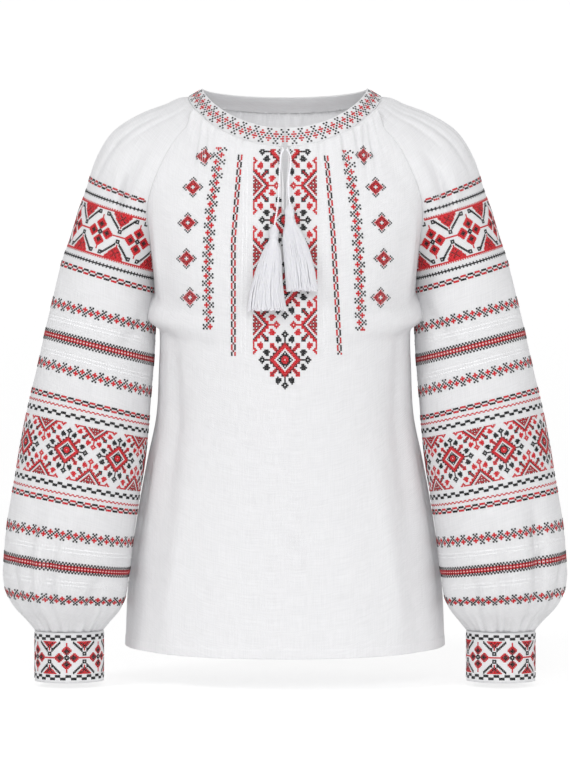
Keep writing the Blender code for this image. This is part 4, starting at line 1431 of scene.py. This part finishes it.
def work_neckband():
    """Floral border round the neckband, mirrored at the centre front."""
    stitching = Stitching("neckband", "linen_neckband")
    angles = np.linspace(0, np.pi, 900)
    lengths = path_lengths(band_surface(angles, np.full(angles.shape, 0.5)))
    wide, high = BAND_CELL
    chart = turned(FLORAL)
    index = np.arange(-4, int((lengths[-1] - BAND_FIRST) / wide))
    heights = np.linspace(*BAND_CHART_ENDS, len(chart))
    for side in (1, -1):
        angle = side * np.interp(BAND_FIRST + index * wide, lengths, angles)
        for height, row in zip(heights, chart):
            letters, shown = repeat_row(row, index)
            here = angle[shown]
            work(stitching, lambda tall, turn: band_surface(turn, tall / BAND_HEIGHT),
                 np.full(here.shape, height * BAND_HEIGHT), here, letters[shown], wide, high, -1)
    return stitching.make()


CUFF_REPEATS = 6
CUFF_TURN = {"right": 61.15, "left": 106.0}   # degrees that the charts are turned by
# Each chart and the distance from the cuff's top to its middle.
CUFF_ROWS = [(MEANDER, 5.2), (CUFF_BAND, 27.0), (MEANDER, 48.6)]


def work_cuff(name):
    """Rose border between two meanders, all round one cuff."""
    stitching = Stitching("cuff_" + name, "linen_cuff")
    side = SLEEVE_SIDES[name]
    count = CUFF_REPEATS * len(CUFF_BAND[0])
    girth = math.pi * (CUFF_HALF_WIDTH + CUFF_HALF_DEPTH)
    wide = girth / count
    for chart, middle in CUFF_ROWS:
        columns = round(count / len(chart[0])) * len(chart[0])
        index = np.arange(columns)
        angle = (index + 0.5) * 2 * np.pi / columns - math.radians(CUFF_TURN[name])
        for row, line in enumerate(chart):
            letters, shown = repeat_row(line, index)
            z = CUFF_TOP_Z - middle - (row - (len(chart) - 1) / 2) * CUFF_CELL
            here = angle[shown]
            work(stitching, lambda down, turn: cuff_surface(name, turn, -down),
                 np.full(here.shape, -z), here, letters[shown], wide, CUFF_CELL, side)
    return stitching.make()


# ---------------------------------------------------------------- pieces worked on the cloth
front_stitches = work_front()
sleeve_stitches = {name: work_sleeve(name) for name in SLEEVE_SIDES}
neckband_stitches = work_neckband()
cuff_stitches = {name: work_cuff(name) for name in SLEEVE_SIDES}
bindings = {side: make_binding(turn, "binding_" + side) for side, turn in SLEEVE_SIDES.items()}

HEM_STITCH, HEM_STITCH_GAP, HEM_THREAD_RADIUS = 2.0, 0.9, 0.2
HEM_LINE_RUN = HEM_RUN - HEM_DEPTH - 0.9
for panel in ("front", "back"):
    line = body_surface(HEM_LINE_RUN, np.linspace(-0.985, 0.985, 500), back=panel == "back")
    thread_piece(
        "hem_stitches_" + panel, running_stitches(line, HEM_STITCH, HEM_STITCH_GAP),
        HEM_THREAD_RADIUS, 4, THREADS["w"][1])


# ---------------------------------------------------------------- studio
FLOOR_Z = -0.643            # metres, just below the cuffs
SWEEP_RADIUS = 0.9
SWEEP_Y = 5.0               # where the floor starts to curve up
SWEEP_STEPS = 12
PAPER_FRONT_Y = -6.0
PAPER_TOP_Z = 5.0
PAPER_HALF_WIDTH = 7.0
WHITE = (1.0, 1.0, 1.0, 1.0)


def make_backdrop():
    """White paper: a floor just below the cuffs that curves up behind the shirt."""
    profile = [(PAPER_FRONT_Y, FLOOR_Z)]
    for step in range(SWEEP_STEPS + 1):
        angle = math.pi / 2 * step / SWEEP_STEPS
        profile.append((SWEEP_Y + SWEEP_RADIUS * math.sin(angle),
                        FLOOR_Z + SWEEP_RADIUS * (1 - math.cos(angle))))
    profile.append((SWEEP_Y + SWEEP_RADIUS, PAPER_TOP_Z))
    verts = [(side * PAPER_HALF_WIDTH, y, z) for y, z in profile for side in (-1, 1)]
    faces = [(2 * row, 2 * row + 1, 2 * row + 3, 2 * row + 2) for row in range(len(profile) - 1)]
    mesh = bpy.data.meshes.new("backdrop")
    mesh.from_pydata(verts, [], faces)
    mesh.shade_smooth()
    material, shader = new_shader("backdrop_paper")
    set_inputs(shader, {"Base Color": (0.35, 0.35, 0.35, 1.0), "Roughness": 1.0,
                        "Specular IOR Level": 0.0, "Emission Color": WHITE,
                        "Emission Strength": 0.72})
    mesh.materials.append(material)
    new_object("backdrop", mesh)


# Round soft lights in metres and watts, each turned to its target.
Lamp = namedtuple("Lamp", "name place target size power")
CHEST = (0.0, 0.0, -0.3)
LAMPS = rows_of(Lamp, [
    ("key_light", (-2.1, -1.9, 1.6), CHEST, 0.9, 34.0),
    ("fill_light", (1.9, -2.2, 0.5), CHEST, 2.2, 19.0),
    ("front_light", (0.2, -2.7, 0.9), (0.0, 0.06, -0.1), 1.2, 24.0),
])

make_backdrop()
for lamp in LAMPS:
    data = bpy.data.lights.new(lamp.name, "AREA")
    data.shape = "DISK"
    data.size = lamp.size
    data.energy = lamp.power
    light = new_object(lamp.name, data)
    light.location = lamp.place
    towards = Vector(lamp.target) - Vector(lamp.place)
    light.rotation_euler = towards.to_track_quat("-Z", "Y").to_euler()
world = bpy.data.worlds.new("studio_air")
world.use_nodes = True
set_inputs(world.node_tree.nodes["Background"], {"Color": WHITE, "Strength": 0.60})
bpy.context.scene.world = world
bpy.context.scene.view_settings.view_transform = "Standard"
